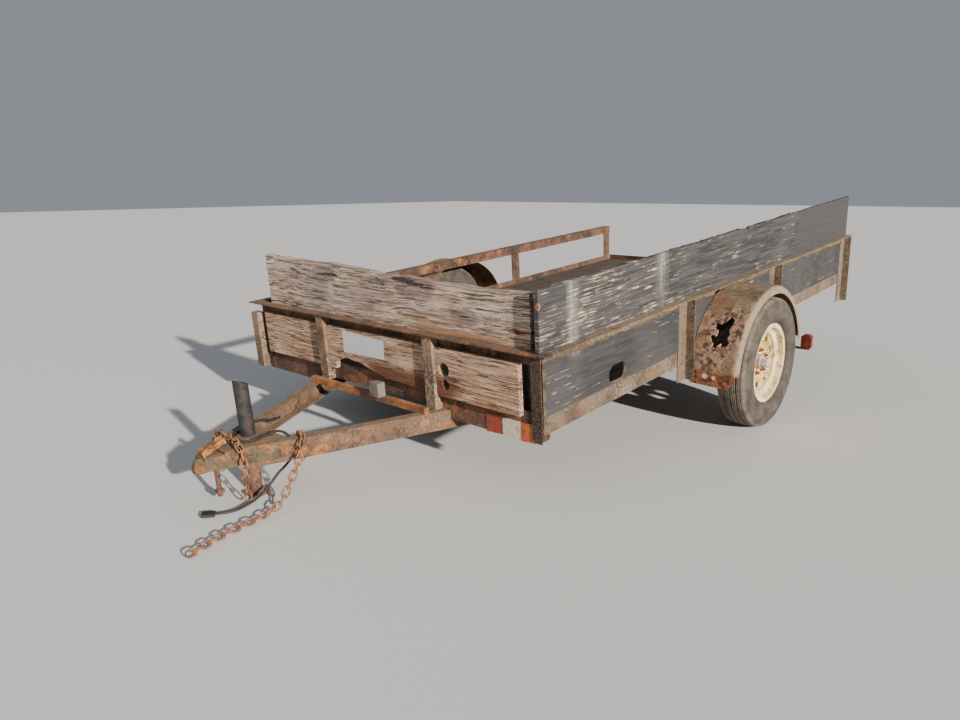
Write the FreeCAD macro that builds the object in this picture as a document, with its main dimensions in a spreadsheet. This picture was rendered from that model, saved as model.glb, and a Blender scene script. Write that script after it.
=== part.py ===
import FreeCAD, Part
import math
import os
import re
import Sketcher

# Single-axle utility trailer with an A-frame tongue, an angle-iron bed and weathered board sides.
# Level deck frame, in millimetres: X forward to the coupler, Y to the left, Z up,
# with the origin on the ground below the axle. The Stance object then tilts the whole
# trailer nose-down about its axle, as it stands on its jack, and centres it.

V = FreeCAD.Vector
doc = FreeCAD.newDocument("utility_trailer")

# Driving dimensions

DRIVING = [
    # alias, value, meaning
    ("nose_down", 4.33, "tilt of the deck as parked, degrees"),
    ("tyre_rad", 305, "13 inch trailer tyre, outside radius"),
    ("tyre_wide", 150, "tyre section width"),
    ("tyre_gap", 94, "from the side rails to the tyre"),
    ("bead_rad", 170, "tyre bead radius"),
    ("rim_lip_rad", 184, "outer radius of the rim flange"),
    ("rim_wide", 108, "rim width over the flanges"),
    ("rim_skin", 4, "rim sheet thickness"),
    ("disc_out", 8, "wheel disc ahead of the wheel's middle plane"),
    ("vent_ring", 112, "radius of the ring of vents"),
    ("vent_rad", 22, "half width of a vent"),
    ("lug_ring", 57, "radius of the wheel nut circle"),
    ("nut_flat", 19, "wheel nut across flats"),
    ("hub_rad", 34, "hub barrel radius"),
    ("cap_rad", 25, "dust cap radius"),
    ("spindle_rad", 16, "spindle radius"),
    ("running", 0.05, "running clearance on the spindle"),
    ("bed_wide", 1740, "outside the side rails"),
    ("bed_front", 1402, "front face ahead of the axle"),
    ("bed_rear", 1700, "rear face behind the axle"),
    ("deck_low", 371, "underside of the bottom rails"),
    ("side_tall", 299, "bottom rail underside to top rail"),
    ("steel", 5, "angle iron thickness"),
    ("rail_tall", 76, "upright leg of the bottom rails"),
    ("rail_flat", 51, "flat leg of the bottom rails"),
    ("top_leg", 51, "both legs of the top rail angle"),
    ("post_wide", 76, "flat leg of a side post"),
    ("post_deep", 44, "outward leg of a side post"),
    ("post_drop", 73, "side posts reach below the bottom rail"),
    ("rear_drop", 118, "rear posts reach below the bottom rail"),
    ("corner_drop", 26, "corner posts reach below the bottom rail"),
    ("corner_leg", 44, "both legs of a front corner post"),
    ("post_one", 388, "rear edge of the forward side post"),
    ("post_two", 578, "rear edge of the middle side post, behind the axle"),
    ("stud_wide", 50, "front upright width"),
    ("stud_deep", 38, "front upright depth"),
    ("stud_from_mid", 345, "front upright from the middle"),
    ("board_skin", 13, "thickness of the lower side panels"),
    ("panel_low", 72, "panel bottom above the rail underside"),
    ("panel_tall", 190, "height of the lower panels"),
    ("panel_gap", 12, "gap between a panel and a post"),
    ("panel_seam", 942, "seam of the rear panels, behind the axle"),
    ("hand_hole_x", 955, "oval hand hole ahead of the axle"),
    ("hand_hole_up", 112, "hand hole above the rail underside"),
    ("hand_hole_long", 124, "hand hole length"),
    ("hand_hole_tall", 74, "hand hole height"),
    ("front_skin", 22, "thickness of the lower front boards"),
    ("front_low", 58, "front board bottom above the rail underside"),
    ("front_tall", 194, "height of the lower front boards"),
    ("key_hole_y", 420, "double hole in the front board, left of middle"),
    ("key_hole_up", 109, "its lower hole above the rail underside"),
    ("key_hole_rad", 20, "radius of the lower hole"),
    ("rot_tall", 62, "height of the rotten arch"),
    ("high_skin", 38, "thickness of the upper front board"),
    ("high_half", 805, "half length of the upper front board"),
    ("high_tall", 216, "upper board height at the front"),
    ("high_rise", 24, "how much taller the side board is at the rear"),
    ("side_skin", 19, "thickness of the upper side board"),
    ("cleat_wide", 89, "inside cleat that carries an upper board"),
    ("cleat_deep", 38, "cleat thickness"),
    ("cross_tall", 40, "floor crossmember height"),
    ("cross_flat", 38, "floor crossmember flange"),
    ("plank_thick", 38, "floor plank thickness"),
    ("plank_gap", 3, "gap between planks"),
    ("tongue_angle", 25.5, "half angle of the tongue"),
    ("chain_drape", 11.2, "chain centre above what it lies on"),
    ("tongue_half", 412, "tongue rail outer face from the middle, at the front face"),
    ("tongue_tall", 76, "tongue channel height"),
    ("tongue_flat", 38, "tongue channel flange"),
    ("tongue_back", 420, "tongue rails run back under the bed"),
    ("tongue_tip", 2100, "front end of the tongue rails"),
    ("bar_x", 1475, "tongue crossbar, rear face"),
    ("bar_thick", 25, "tongue crossbar section"),
    ("coupler_rear", 1950, "rear edge of the coupler"),
    ("coupler_skin", 6, "coupler plate"),
    ("coupler_tall", 56, "coupler side flange height"),
    ("socket_x", 2218, "centre of the ball socket"),
    ("socket_rad", 26, "socket for a 2 inch ball"),
    ("socket_wall", 7, "socket wall"),
    ("jack_x", 2030, "jack axis ahead of the axle"),
    ("jack_rad", 27, "jack housing radius"),
    ("jack_wall", 3.5, "jack housing wall"),
    ("jack_top", 598, "jack housing top, above the ground line"),
    ("leg_rad", 23.2, "jack leg radius"),
    ("foot_wide", 84, "jack foot plate"),
    ("foot_thick", 8, "jack foot plate thickness"),
    ("axle_rad", 25.5, "axle tube radius"),
    ("spring_wide", 45, "leaf width"),
    ("leaf_thick", 7, "leaf thickness"),
    ("spring_half", 330, "axle to spring eye"),
    ("spring_rise", 58, "eye above the middle of the leaf"),
    ("eye_rad", 14, "spring eye radius"),
    ("fender_rad", 382, "fender outer radius"),
    ("fender_z", 278, "fender arc centre above the ground line"),
    ("fender_x", -8, "fender arc centre from the axle"),
    ("fender_sag", 9, "the right fender hangs this much lower"),
    ("fender_over", 54, "fender outer edge beyond the middle of the tyre"),
    ("fender_skin", 3, "fender sheet"),
    ("fender_bend", 20, "bend into the fender lip"),
    ("fender_lip", 34, "depth of the fender lip"),
    ("lamp_x", 425, "tail lamp behind the axle"),
    ("lamp_y", 1128, "tail lamp outer face from the middle"),
    ("link_wire", 5.5, "chain wire"),
    ("link_long", 30, "inside length of a link"),
    ("link_wide", 15, "inside width of a link"),
    ("cable_rad", 5, "wiring cable radius"),
]

sheet = doc.addObject("Spreadsheet::Sheet", "Sizes")
D = {}
for row, (alias, value, meaning) in enumerate(DRIVING, start=1):
    sheet.set("A%d" % row, meaning)
    sheet.set("B%d" % row, str(value))
    sheet.setAlias("B%d" % row, alias)
    D[alias] = float(value)
doc.recompute()


def bound(text):
    """Write a formula of aliases as an expression on the sheet."""
    return re.sub(r"[a-z_]+[a-z0-9_]*", lambda word: "Sizes." + word.group(0) if word.group(0) in D else word.group(0), text)


# Stance: nose-down about the axle; stand_shift is set once the whole length is known

stance = doc.addObject("App::Placement", "Stance")
stance.addProperty("App::PropertyFloat", "stand_shift", "Stance", "moves the middle of the length to X = 0")
stance.setExpression("Placement", bound(
    "placement(vector(.stand_shift; 0; tyre_rad); rotation(vector(0; 1; 0); nose_down))"
    " * placement(vector(0; 0; -tyre_rad); rotation(vector(0; 0; 1); 0))"))


def turned(axis, angle):
    return "placement(vector(0; 0; 0); rotation(vector(%s); %s))" % (axis, angle)


def put(obj, x="0", y="0", z="0", *turns):
    """Place an object in the level deck frame, and tilt it with the trailer."""
    steps = ["Stance.Placement", "placement(vector(%s; %s; %s); rotation(vector(0; 0; 1); 0))" % (x, y, z)]
    obj.setExpression("Placement", bound(" * ".join(steps + list(turns))))
    return obj


def box(label, size, at, *turns):
    part = doc.addObject("Part::Box", label)
    for side, formula in zip(("Length", "Width", "Height"), size):
        part.setExpression(side, bound(formula))
    return put(part, *at, *turns)


def cylinder(label, radius, height, at, *turns):
    part = doc.addObject("Part::Cylinder", label)
    part.setExpression("Radius", bound(radius))
    part.setExpression("Height", bound(height))
    return put(part, *at, *turns)


def cut(label, base, tool):
    part = doc.addObject("Part::Cut", label)
    part.Base = base
    part.Tool = tool
    return part


def fuse(label, pieces):
    part = doc.addObject("Part::MultiFuse", label)
    part.Shapes = pieces
    part.Refine = True
    return part


def group(label, pieces):
    part = doc.addObject("Part::Compound", label)
    part.Links = pieces
    return part


def feature(label, shape, at=("0", "0", "0"), *turns):
    part = doc.addObject("Part::Feature", label)
    part.Shape = shape
    return put(part, *at, *turns)


LEFT_TURN = turned("1; 1; 1", "120")
UP_LEGS = turned("0; 0; 1", "180")
ACROSS = turned("1; 0; 0", "-90")


def sketch_on_xy(body, label):
    sketch = body.newObject("Sketcher::SketchObject", label)
    plane = [item for item in body.Origin.OriginFeatures if item.Role == "XY_Plane"][0]
    sketch.AttachmentSupport = [(plane, "")]
    sketch.MapMode = "FlatFace"
    return sketch


def angle_bar(label, flat, drop, length, at, turns, cope_drop=(), cope_flat=()):
    """Angle iron: flat leg along sketch X, drop leg down sketch -Y, padded along its length.

    A cope takes one leg away over a stretch: (start, length) measured along the bar.
    """
    body = doc.addObject("PartDesign::Body", label)
    sketch = sketch_on_xy(body, label + "_section")
    flat_mm, drop_mm, steel_mm = 50.0, 50.0, 5.0
    corners = [V(0, 0), V(flat_mm, 0), V(flat_mm, -steel_mm), V(steel_mm, -steel_mm), V(steel_mm, -drop_mm), V(0, -drop_mm)]
    count = len(corners)
    for i in range(count):
        sketch.addGeometry(Part.LineSegment(corners[i], corners[(i + 1) % count]))
    for i in range(count):
        sketch.addConstraint(Sketcher.Constraint("Coincident", i, 2, (i + 1) % count, 1))
        sketch.addConstraint(Sketcher.Constraint("Horizontal" if i % 2 == 0 else "Vertical", i))
    sketch.addConstraint(Sketcher.Constraint("Coincident", 0, 1, -1, 1))
    sizes = [
        ("flat", Sketcher.Constraint("DistanceX", 0, 1, 0, 2, flat_mm), flat),
        ("drop", Sketcher.Constraint("DistanceY", 5, 1, 5, 2, drop_mm), drop),
        ("flat_steel", Sketcher.Constraint("DistanceY", 1, 2, 1, 1, steel_mm), "steel"),
        ("drop_steel", Sketcher.Constraint("DistanceX", 4, 2, 4, 1, steel_mm), "steel"),
    ]
    for name, constraint, formula in sizes:
        sketch.renameConstraint(sketch.addConstraint(constraint), name)
        sketch.setExpression("Constraints." + name, bound(formula))
    pad = body.newObject("PartDesign::Pad", label + "_pad")
    pad.Profile = sketch
    pad.setExpression("Length", bound(length))
    for number, (start, run) in enumerate(cope_drop):
        notch = body.newObject("PartDesign::SubtractiveBox", "%s_drop_cope_%d" % (label, number))
        for side, formula in (("Length", "steel + 2"), ("Width", "%s" % drop), ("Height", run)):
            notch.setExpression(side, bound(formula))
        notch.setExpression("Placement", bound("placement(vector(-1; -steel - (%s); %s); rotation(vector(0; 0; 1); 0))" % (drop, start)))
    for number, (start, run) in enumerate(cope_flat):
        notch = body.newObject("PartDesign::SubtractiveBox", "%s_flat_cope_%d" % (label, number))
        for side, formula in (("Length", "%s" % flat), ("Width", "steel + 2"), ("Height", run)):
            notch.setExpression(side, bound(formula))
        notch.setExpression("Placement", bound("placement(vector(steel; -steel - 1; %s); rotation(vector(0; 0; 1); 0))" % start))
    return put(body, *at, *turns)


SIDES = (("left", 1), ("right", -1))
nodes = {}

# Bed frame: bottom rails

SIDE_LEN = "bed_front + bed_rear"
HEADING = {
    # the bar's outward side: turn about Z
    "left": turned("0; 0; 1", "0"),
    "right": turned("0; 0; 1", "180"),
    "front": turned("0; 0; 1", "-90"),
    "rear": turned("0; 0; 1", "90"),
}

for side, sign in SIDES:
    start = "-bed_rear" if sign > 0 else "bed_front"
    front_cope, rear_cope = ("-1", "rail_flat + 1"), (SIDE_LEN + " - steel", "steel + 1")
    if sign > 0:
        front_cope, rear_cope = (SIDE_LEN + " - rail_flat", "rail_flat + 1"), ("-1", "steel + 1")
    nodes["bottom_rail_" + side] = angle_bar(
        "bottom_rail_" + side, "rail_flat", "rail_tall", SIDE_LEN,
        (start, "%d * bed_wide / 2" % sign, "deck_low"),
        [HEADING[side], LEFT_TURN, UP_LEGS],
        cope_flat=[front_cope, rear_cope])
    top_len = "bed_front - steel + bed_rear"
    top_start = "-bed_rear" if sign > 0 else "bed_front - steel"
    nodes["top_rail_" + side] = angle_bar(
        "top_rail_" + side, "top_leg", "top_leg", top_len,
        (top_start, "%d * (bed_wide / 2 - steel)" % sign, "deck_low + side_tall"),
        [HEADING[side], LEFT_TURN])

INNER = "bed_wide - 2 * steel"
FRONT_SPAN = "bed_wide - 4 * steel"
nodes["bottom_rail_front"] = angle_bar(
    "bottom_rail_front", "rail_flat", "rail_tall", FRONT_SPAN,
    ("bed_front", "bed_wide / 2 - 2 * steel", "deck_low"), [HEADING["front"], LEFT_TURN, UP_LEGS],
    cope_flat=[("-1", "rail_flat - 2 * steel + 1"), (FRONT_SPAN + " - rail_flat + 2 * steel", "rail_flat - 2 * steel + 1")])
nodes["bottom_rail_rear"] = angle_bar(
    "bottom_rail_rear", "rail_flat", "rail_tall", INNER,
    ("-bed_rear", "-(bed_wide / 2 - steel)", "deck_low"), [HEADING["rear"], LEFT_TURN, UP_LEGS],
    cope_flat=[("-1", "rail_flat - steel + 1"), (INNER + " - rail_flat + steel", "rail_flat - steel + 1")])

# Top rail across the front; its drop leg stops at the corner posts

LIP_SPAN = "bed_wide + 2 * (top_leg - steel)"
nodes["top_rail_front"] = angle_bar(
    "top_rail_front", "top_leg", "top_leg", LIP_SPAN,
    ("bed_front - steel", "bed_wide / 2 + top_leg - steel", "deck_low + side_tall"), [HEADING["front"], LEFT_TURN],
    cope_drop=[("-1", "top_leg + steel + 1"), (LIP_SPAN + " - top_leg - steel", "top_leg + steel + 1")])

# Posts

corner_posts = []
for side, sign in SIDES:
    posts = []
    spin = "90" if sign > 0 else "0"
    flat, drop = ("post_deep", "post_wide") if sign > 0 else ("post_wide", "post_deep")
    for name, edge, reach in (("one", "post_one", "post_drop"), ("two", "-post_two", "post_drop"), ("rear", "-bed_rear", "rear_drop")):
        label = "post_%s_%s" % (name, side)
        posts.append(angle_bar(
            label, flat, drop, "side_tall - steel + " + reach,
            (edge, "%d * bed_wide / 2" % sign, "deck_low - " + reach), [turned("0; 0; 1", spin)]))
    nodes["side_posts_" + side] = group("side_posts_" + side, posts)
    turn = "270" if sign > 0 else "180"
    corner_posts.append(angle_bar(
        "corner_post_" + side, "corner_leg", "corner_leg", "side_tall - steel + corner_drop",
        ("bed_front + steel", "%d * (bed_wide / 2 - steel)" % sign, "deck_low - corner_drop"), [turned("0; 0; 1", turn)]))
nodes["corner_posts"] = group("corner_posts", corner_posts)

# Front uprights: channels with the web forward, from the tongue rails to under the lip

uprights = []
for side, sign in SIDES:
    label = "front_upright_" + side
    low = "deck_low"
    tall = "side_tall - steel"
    web = box(label + "_web", ("steel", "stud_wide", tall),
              ("bed_front + stud_deep - steel", "%d * stud_from_mid - stud_wide / 2" % sign, low))
    flanges = [
        box(label + "_flange_%d" % k, ("stud_deep", "steel", tall),
            ("bed_front", "%d * stud_from_mid %s" % (sign, shift), low))
        for k, shift in enumerate(("- stud_wide / 2", "+ stud_wide / 2 - steel"))
    ]
    uprights.append(fuse(label, [web] + flanges))
nodes["front_uprights"] = group("front_uprights", uprights)

# Floor: crossmembers between the flat legs of the side rails, planks on both

cross_bars = []
CROSS_PLACES = (940, 530, 120, -250, -700, -1110, -1480)
for number, place in enumerate(CROSS_PLACES):
    cross_bars.append(angle_bar(
        "crossmember_%d" % number, "cross_flat", "cross_tall", "bed_wide - 2 * rail_flat",
        (str(place), "bed_wide / 2 - rail_flat", "deck_low + steel"), [HEADING["front"], LEFT_TURN]))
nodes["crossmembers"] = group("crossmembers", cross_bars)

PLANKS = 9
planks = []
plank_wide = "((bed_wide - 4 * steel + 4 - %d * plank_gap) / %d)" % (PLANKS + 1, PLANKS)
for number in range(PLANKS):
    planks.append(box(
        "plank_%d" % number, ("bed_front + bed_rear - 2 * steel - 2", plank_wide, "plank_thick"),
        ("-bed_rear + steel", "-bed_wide / 2 + 2 * steel - 2 + plank_gap + %d * (%s + plank_gap)" % (number, plank_wide),
         "deck_low + steel")))
nodes["floor_planks"] = group("floor_planks", planks)

# Lower side panels, outside the left rails; the right side has lost its boards

PANEL_Z = "deck_low + panel_low"
panel_runs = [
    # name, rear end, front end
    ("front", "post_one + post_wide + panel_gap", "bed_front"),
    ("middle", "-post_two + post_wide + panel_gap", "post_one - panel_gap"),
    ("rear", "-panel_seam", "-post_two - panel_gap"),
    ("tail", "-bed_rear + post_wide + 3 * panel_gap", "-panel_seam - 4"),
]
panels = {}
for name, rear, front in panel_runs:
    panels[name] = box("panel_" + name, ("(%s) - (%s)" % (front, rear), "board_skin", "panel_tall"),
                       (rear, "bed_wide / 2", PANEL_Z))

half_slot = "(hand_hole_long / 2 - hand_hole_tall / 2)"
slot_z = "deck_low + hand_hole_up"
slot = fuse("hand_hole", [
    box("hand_hole_mid", ("2 * " + half_slot, "board_skin + 4", "hand_hole_tall"),
        ("hand_hole_x - " + half_slot, "bed_wide / 2 - 2", slot_z + " - hand_hole_tall / 2")),
    cylinder("hand_hole_front", "hand_hole_tall / 2", "board_skin + 4",
             ("hand_hole_x + " + half_slot, "bed_wide / 2 - 2", slot_z), ACROSS),
    cylinder("hand_hole_rear", "hand_hole_tall / 2", "board_skin + 4",
             ("hand_hole_x - " + half_slot, "bed_wide / 2 - 2", slot_z), ACROSS),
])
panels["front"] = cut("panel_front_cut", panels["front"], slot)
nodes["side_panels"] = group("side_panels", list(panels.values()))

# Lower front boards between the corner posts and the uprights

FRONT_Z = "deck_low + front_low"
CORNER_IN = "(bed_wide / 2 - steel - corner_leg)"
front_runs = [
    # name, right end, left end
    ("right", "-%s + 2" % CORNER_IN, "-stud_from_mid - stud_wide / 2 - 2"),
    ("middle", "-stud_from_mid + stud_wide / 2 + 2", "stud_from_mid - stud_wide / 2 - 2"),
    ("left", "stud_from_mid + stud_wide / 2 + 2", "%s - 40" % CORNER_IN),
]
fronts = {}
for name, low_y, high_y in front_runs:
    fronts[name] = box("front_plank_" + name, ("front_skin", "(%s) - (%s)" % (high_y, low_y), "front_tall"),
                       ("bed_front", low_y, FRONT_Z))

ALONG = turned("0; 1; 0", "90")
key_holes = fuse("key_holes", [
    cylinder("key_hole_low", "key_hole_rad", "front_skin + 4",
             ("bed_front - 2", "key_hole_y", "deck_low + key_hole_up"), ALONG),
    cylinder("key_hole_high", "key_hole_rad * 1.4", "front_skin + 4",
             ("bed_front - 2", "key_hole_y - 6", "deck_low + key_hole_up + 2.9 * key_hole_rad"), ALONG),
])
fronts["left"] = cut("front_plank_left_cut", fronts["left"], key_holes)

arch_half = D["stud_from_mid"] - D["stud_wide"] / 2 - 40
arch_x = D["bed_front"]
arch_z = D["deck_low"] + D["front_low"]
arch_outline = [
    # share of the half width, share of the arch height
    (-1.00, -0.2), (-0.96, 0.55), (-0.70, 1.00), (-0.35, 0.86), (-0.05, 0.50), (0.25, 0.22), (0.60, 0.20), (0.95, 0.10), (1.0, -0.2),
]
arch_wire = Part.makePolygon(
    [V(arch_x - 2, a * arch_half, arch_z + b * D["rot_tall"]) for a, b in arch_outline + arch_outline[:1]])
rot = feature("rotten_arch", Part.Face(arch_wire).extrude(V(D["front_skin"] + 4, 0, 0)))
fronts["middle"] = cut("front_plank_middle_cut", fronts["middle"], rot)
nodes["front_boards"] = group("front_boards", list(fronts.values()))

# Upper boards standing on the top rails, and the inside cleats that carry them

HIGH_Z = "deck_low + side_tall"
nodes["upper_board_front"] = box(
    "upper_board_front", ("high_skin", "2 * high_half", "high_tall"), ("bed_front - high_skin", "-high_half", HIGH_Z))

side_from = D["bed_front"] + D["top_leg"] - 13
side_to = -D["bed_rear"]
side_base = D["deck_low"] + D["side_tall"]
break_x = -200
front_high = side_base + D["high_tall"]
slope = D["high_rise"] / (side_from - side_to)
edge = [
    # x, drop below the straight top edge
    (side_from, 0), (break_x + 18, 0), (break_x + 8, 14), (break_x - 6, 5), (break_x - 16, 11), (break_x - 30, 0), (side_to, 0),
]
ring = [V(x, 0, front_high + slope * (side_from - x) - drop) for x, drop in edge]
ring += [V(side_to, 0, side_base), V(side_from, 0, side_base)]
side_y = D["bed_wide"] / 2 - 9
board_face = Part.Face(Part.makePolygon([V(p.x, side_y, p.z) for p in ring + ring[:1]]))
nodes["upper_board_side"] = feature("upper_board_side", board_face.extrude(V(0, D["side_skin"] - 1, 0)))

cleats = []
FLOOR_TOP = "deck_low + steel + plank_thick"
for number, place in enumerate(("bed_front - 140", "post_one - 20", "-post_two", "-bed_rear + 40")):
    cleats.append(box("side_cleat_%d" % number, ("cleat_wide", "cleat_deep", "side_tall - steel - plank_thick + high_tall - 30"),
                      (place, "bed_wide / 2 - 9 - cleat_deep", FLOOR_TOP)))
for number, place in enumerate(("-high_half + 60", "high_half - 60 - cleat_wide")):
    cleats.append(box("front_cleat_%d" % number, ("cleat_deep", "cleat_wide", "side_tall - steel - plank_thick + high_tall - 30"),
                      ("bed_front - high_skin - cleat_deep", place, FLOOR_TOP)))
nodes["board_cleats"] = group("board_cleats", cleats)

# Tongue: two channels with the web outside, under the bed and forward to the coupler

tongue_rad = math.radians(D["tongue_angle"])
along_len = (D["tongue_tip"] - D["bed_front"] + D["tongue_back"]) / math.cos(tongue_rad)
flat_mm, web_mm, tall_mm = D["tongue_flat"], D["steel"], D["tongue_tall"]
channel = [
    # across from the web's outer face inward, up
    (0, 0), (flat_mm, 0), (flat_mm, web_mm + 1), (web_mm, web_mm + 1),
    (web_mm, tall_mm - web_mm - 1), (flat_mm, tall_mm - web_mm - 1), (flat_mm, tall_mm), (0, tall_mm),
]
back_x = D["bed_front"] - D["tongue_back"]
back_y = D["tongue_half"] + D["tongue_back"] * math.tan(tongue_rad)
TONGUE_Z = D["deck_low"] - tall_mm
for side, sign in SIDES:
    direction = V(math.cos(tongue_rad), -sign * math.sin(tongue_rad), 0)
    inward = V(-math.sin(tongue_rad), -sign * math.cos(tongue_rad), 0)
    start = V(back_x, sign * back_y, TONGUE_Z)
    points = [start + inward * a + V(0, 0, up) for a, up in channel]
    face = Part.Face(Part.makePolygon(points + points[:1]))
    nodes["tongue_rail_" + side] = feature("tongue_rail_" + side, face.extrude(direction * along_len))

bar_half = "(tongue_half - (bar_x - bed_front) * tan(tongue_angle) - 6)"
nodes["tongue_crossbar"] = box(
    "tongue_crossbar", ("bar_thick", "2 * " + bar_half, "bar_thick"), ("bar_x", "-" + bar_half, "deck_low"))
nodes["bar_block"] = fuse("bar_block", [
    box("bar_block_plate", ("38", "52", "58"), ("bar_x + 8", "74", "deck_low + bar_thick")),
    box("bar_block_tab", ("8", "10", "52"), ("bar_x + 14", "50", "deck_low + bar_thick")),
    box("bar_block_foot", ("20", "40", "4"), ("bar_x + 4", "44", "deck_low + bar_thick")),
])

# Coupler: an A-shaped plate over the rail ends, flanges outside them, and the ball socket


def tongue_outer(x):
    return D["tongue_half"] - (x - D["bed_front"]) * math.tan(tongue_rad)


skin = D["coupler_skin"]
plate_z = D["deck_low"]
rear_x = D["coupler_rear"]
neck_x = D["socket_x"] - 62
rear_half = tongue_outer(rear_x) + skin / math.cos(tongue_rad)
neck_half = tongue_outer(neck_x) + skin / math.cos(tongue_rad)
plate_outline = [(rear_x, -rear_half), (neck_x, -neck_half), (neck_x, neck_half), (rear_x, rear_half)]
plate = Part.Face(Part.makePolygon([V(x, y, plate_z) for x, y in plate_outline + plate_outline[:1]]))
coupler = plate.extrude(V(0, 0, skin))
for side, sign in SIDES:
    outer = [V(rear_x, sign * rear_half, 0), V(neck_x, sign * neck_half, 0)]
    inner = [V(neck_x, sign * tongue_outer(neck_x), 0), V(rear_x, sign * tongue_outer(rear_x), 0)]
    low = V(0, 0, plate_z - D["coupler_tall"])
    flange = Part.Face(Part.makePolygon([p + low for p in outer + inner + outer[:1]]))
    coupler = coupler.fuse(flange.extrude(V(0, 0, D["coupler_tall"] + skin)))
ball_rad = D["socket_rad"]
nose_rad = ball_rad + D["socket_wall"]
socket_z = plate_z - 46
neck = [
    # x, half width: the snout from the plate to the socket
    (neck_x - 2, neck_half), (D["socket_x"] - 8, nose_rad), (D["socket_x"] + 2, nose_rad),
]
snout_points = [V(x, y, plate_z - D["coupler_tall"]) for x, y in neck]
snout_points += [V(x, -y, plate_z - D["coupler_tall"]) for x, y in reversed(neck)]
snout = Part.Face(Part.makePolygon(snout_points + snout_points[:1])).extrude(V(0, 0, D["coupler_tall"] - 6))
snout_room = [V(p.x - 4, p.y * 0.80, p.z - 2) for p in snout_points]
snout = snout.cut(Part.Face(Part.makePolygon(snout_room + snout_room[:1])).extrude(V(0, 0, D["coupler_tall"] - 12)))
dome = Part.makeSphere(nose_rad, V(D["socket_x"], 0, socket_z + 6))
skirt = Part.makeCylinder(nose_rad, 16, V(D["socket_x"], 0, plate_z - D["coupler_tall"]))
ball = Part.makeSphere(ball_rad, V(D["socket_x"], 0, socket_z + 6))
mouth = Part.makeCylinder(ball_rad, 60, V(D["socket_x"], 0, socket_z + 6 - 60))
under = Part.makeBox(120, 120, 60, V(D["socket_x"] - 60, -60, plate_z - D["coupler_tall"] - 60))
coupler = coupler.fuse([snout, dome, skirt]).cut([ball, mouth, under])
jack_hole = Part.makeCylinder(D["jack_rad"], 80, V(D["jack_x"], 0, plate_z - 40))
coupler = coupler.cut(jack_hole).removeSplitter()
nodes["coupler"] = feature("coupler", coupler)

latch_len, latch_wide, latch_tall = 92, 34, 20
latch = Part.makeBox(latch_len, latch_wide, latch_tall, V(-latch_len, -latch_wide / 2, 0))
latch = latch.cut(Part.makeBox(latch_len - 8, latch_wide - 8, latch_tall, V(-latch_len - 4, -latch_wide / 2 + 4, -4)))
latch_z = str(plate_z + skin - 11.4)
nodes["coupler_latch"] = feature("coupler_latch", latch, ("socket_x - 4", "4", latch_z), turned("0; 1; 0", "17"))

clamp_low = plate_z - D["coupler_tall"] - 117
snout_roof = plate_z - 14
clamp = Part.makeCylinder(9, snout_roof - clamp_low, V(0, 0, 0))
clamp = clamp.fuse(Part.makeBox(26, 26, 14, V(-13, -13, 12)))
nodes["coupler_clamp"] = feature("coupler_clamp", clamp, ("socket_x - 48", "0", str(clamp_low)))

# Jack: housing tube through the coupler plate, sliding leg and level foot

housing_low = D["deck_low"] - D["tongue_tall"] - 4
housing_len = D["jack_top"] - housing_low
tube = Part.makeCylinder(D["jack_rad"], housing_len, V(0, 0, 0))
tube = tube.cut(Part.makeCylinder(D["jack_rad"] - D["jack_wall"], housing_len + 2, V(0, 0, -1)))
lid_cut = Part.makeBox(120, 120, 60, V(-60, -60, 0))
lid_cut.rotate(V(0, 0, 0), V(0, 1, 0), -24)
lid_cut.translate(V(0, 0, housing_len - 12))
tube = tube.cut(lid_cut)
nodes["jack_housing"] = feature("jack_housing", tube, ("jack_x", "0", str(housing_low)))
collar = Part.makeCylinder(D["jack_rad"] + 14, 9, V(0, 0, 0)).cut(Part.makeCylinder(D["jack_rad"], 11, V(0, 0, -1)))
nodes["jack_collar"] = feature("jack_collar", collar, ("jack_x", "0", "deck_low + coupler_skin"))

tilt = math.radians(D["nose_down"])
foot_top = D["tyre_rad"] + (D["foot_thick"] + math.sin(tilt) * D["jack_x"] - D["tyre_rad"]) / math.cos(tilt)
leg_top = D["jack_top"] - 60
leg = Part.makeCylinder(D["leg_rad"], leg_top - foot_top + 40, V(0, 0, foot_top - 40))
leg = leg.cut(Part.makeCylinder(D["leg_rad"] - 4, leg_top - foot_top + 42, V(0, 0, foot_top - 41)))
floor_cut = Part.makeBox(200, 200, 100, V(-100, -100, -100))
floor_cut.rotate(V(0, 0, 0), V(0, 1, 0), -D["nose_down"])
floor_cut.translate(V(0, 0, foot_top))
nodes["jack_leg"] = feature("jack_leg", leg.cut(floor_cut), ("jack_x", "0", "0"))
foot = Part.makeBox(D["foot_wide"], D["foot_wide"], D["foot_thick"], V(-D["foot_wide"] / 2, -D["foot_wide"] / 2, -D["foot_thick"]))
foot = foot.makeFillet(14, [e for e in foot.Edges if abs(e.tangentAt(e.FirstParameter).z) > 0.9])
nodes["jack_foot"] = feature("jack_foot", foot, ("jack_x", "0", str(foot_top)), turned("0; 1; 0", "-nose_down"))

# Axle, springs and hangers

wheel_mid = D["bed_wide"] / 2 + D["tyre_gap"] + D["tyre_wide"] / 2
axle_half = D["bed_wide"] / 2 + 30
axle = Part.makeCylinder(D["axle_rad"], 2 * axle_half, V(0, -axle_half, 0), V(0, 1, 0))
spindle_half = wheel_mid + D["disc_out"] + 18
axle = axle.fuse(Part.makeCylinder(D["spindle_rad"], 2 * spindle_half, V(0, -spindle_half, 0), V(0, 1, 0)))
nodes["axle"] = feature("axle", axle, ("0", "0", "tyre_rad"))

spring_y = D["bed_wide"] / 2 - D["steel"] - D["spring_wide"] / 2
arc_rad = (D["spring_half"] ** 2 + D["spring_rise"] ** 2) / (2 * D["spring_rise"])
pack_top = D["tyre_rad"] - D["axle_rad"]
LEAVES = ((0, 1.0), (1, 0.78), (2, 0.52))


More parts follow.
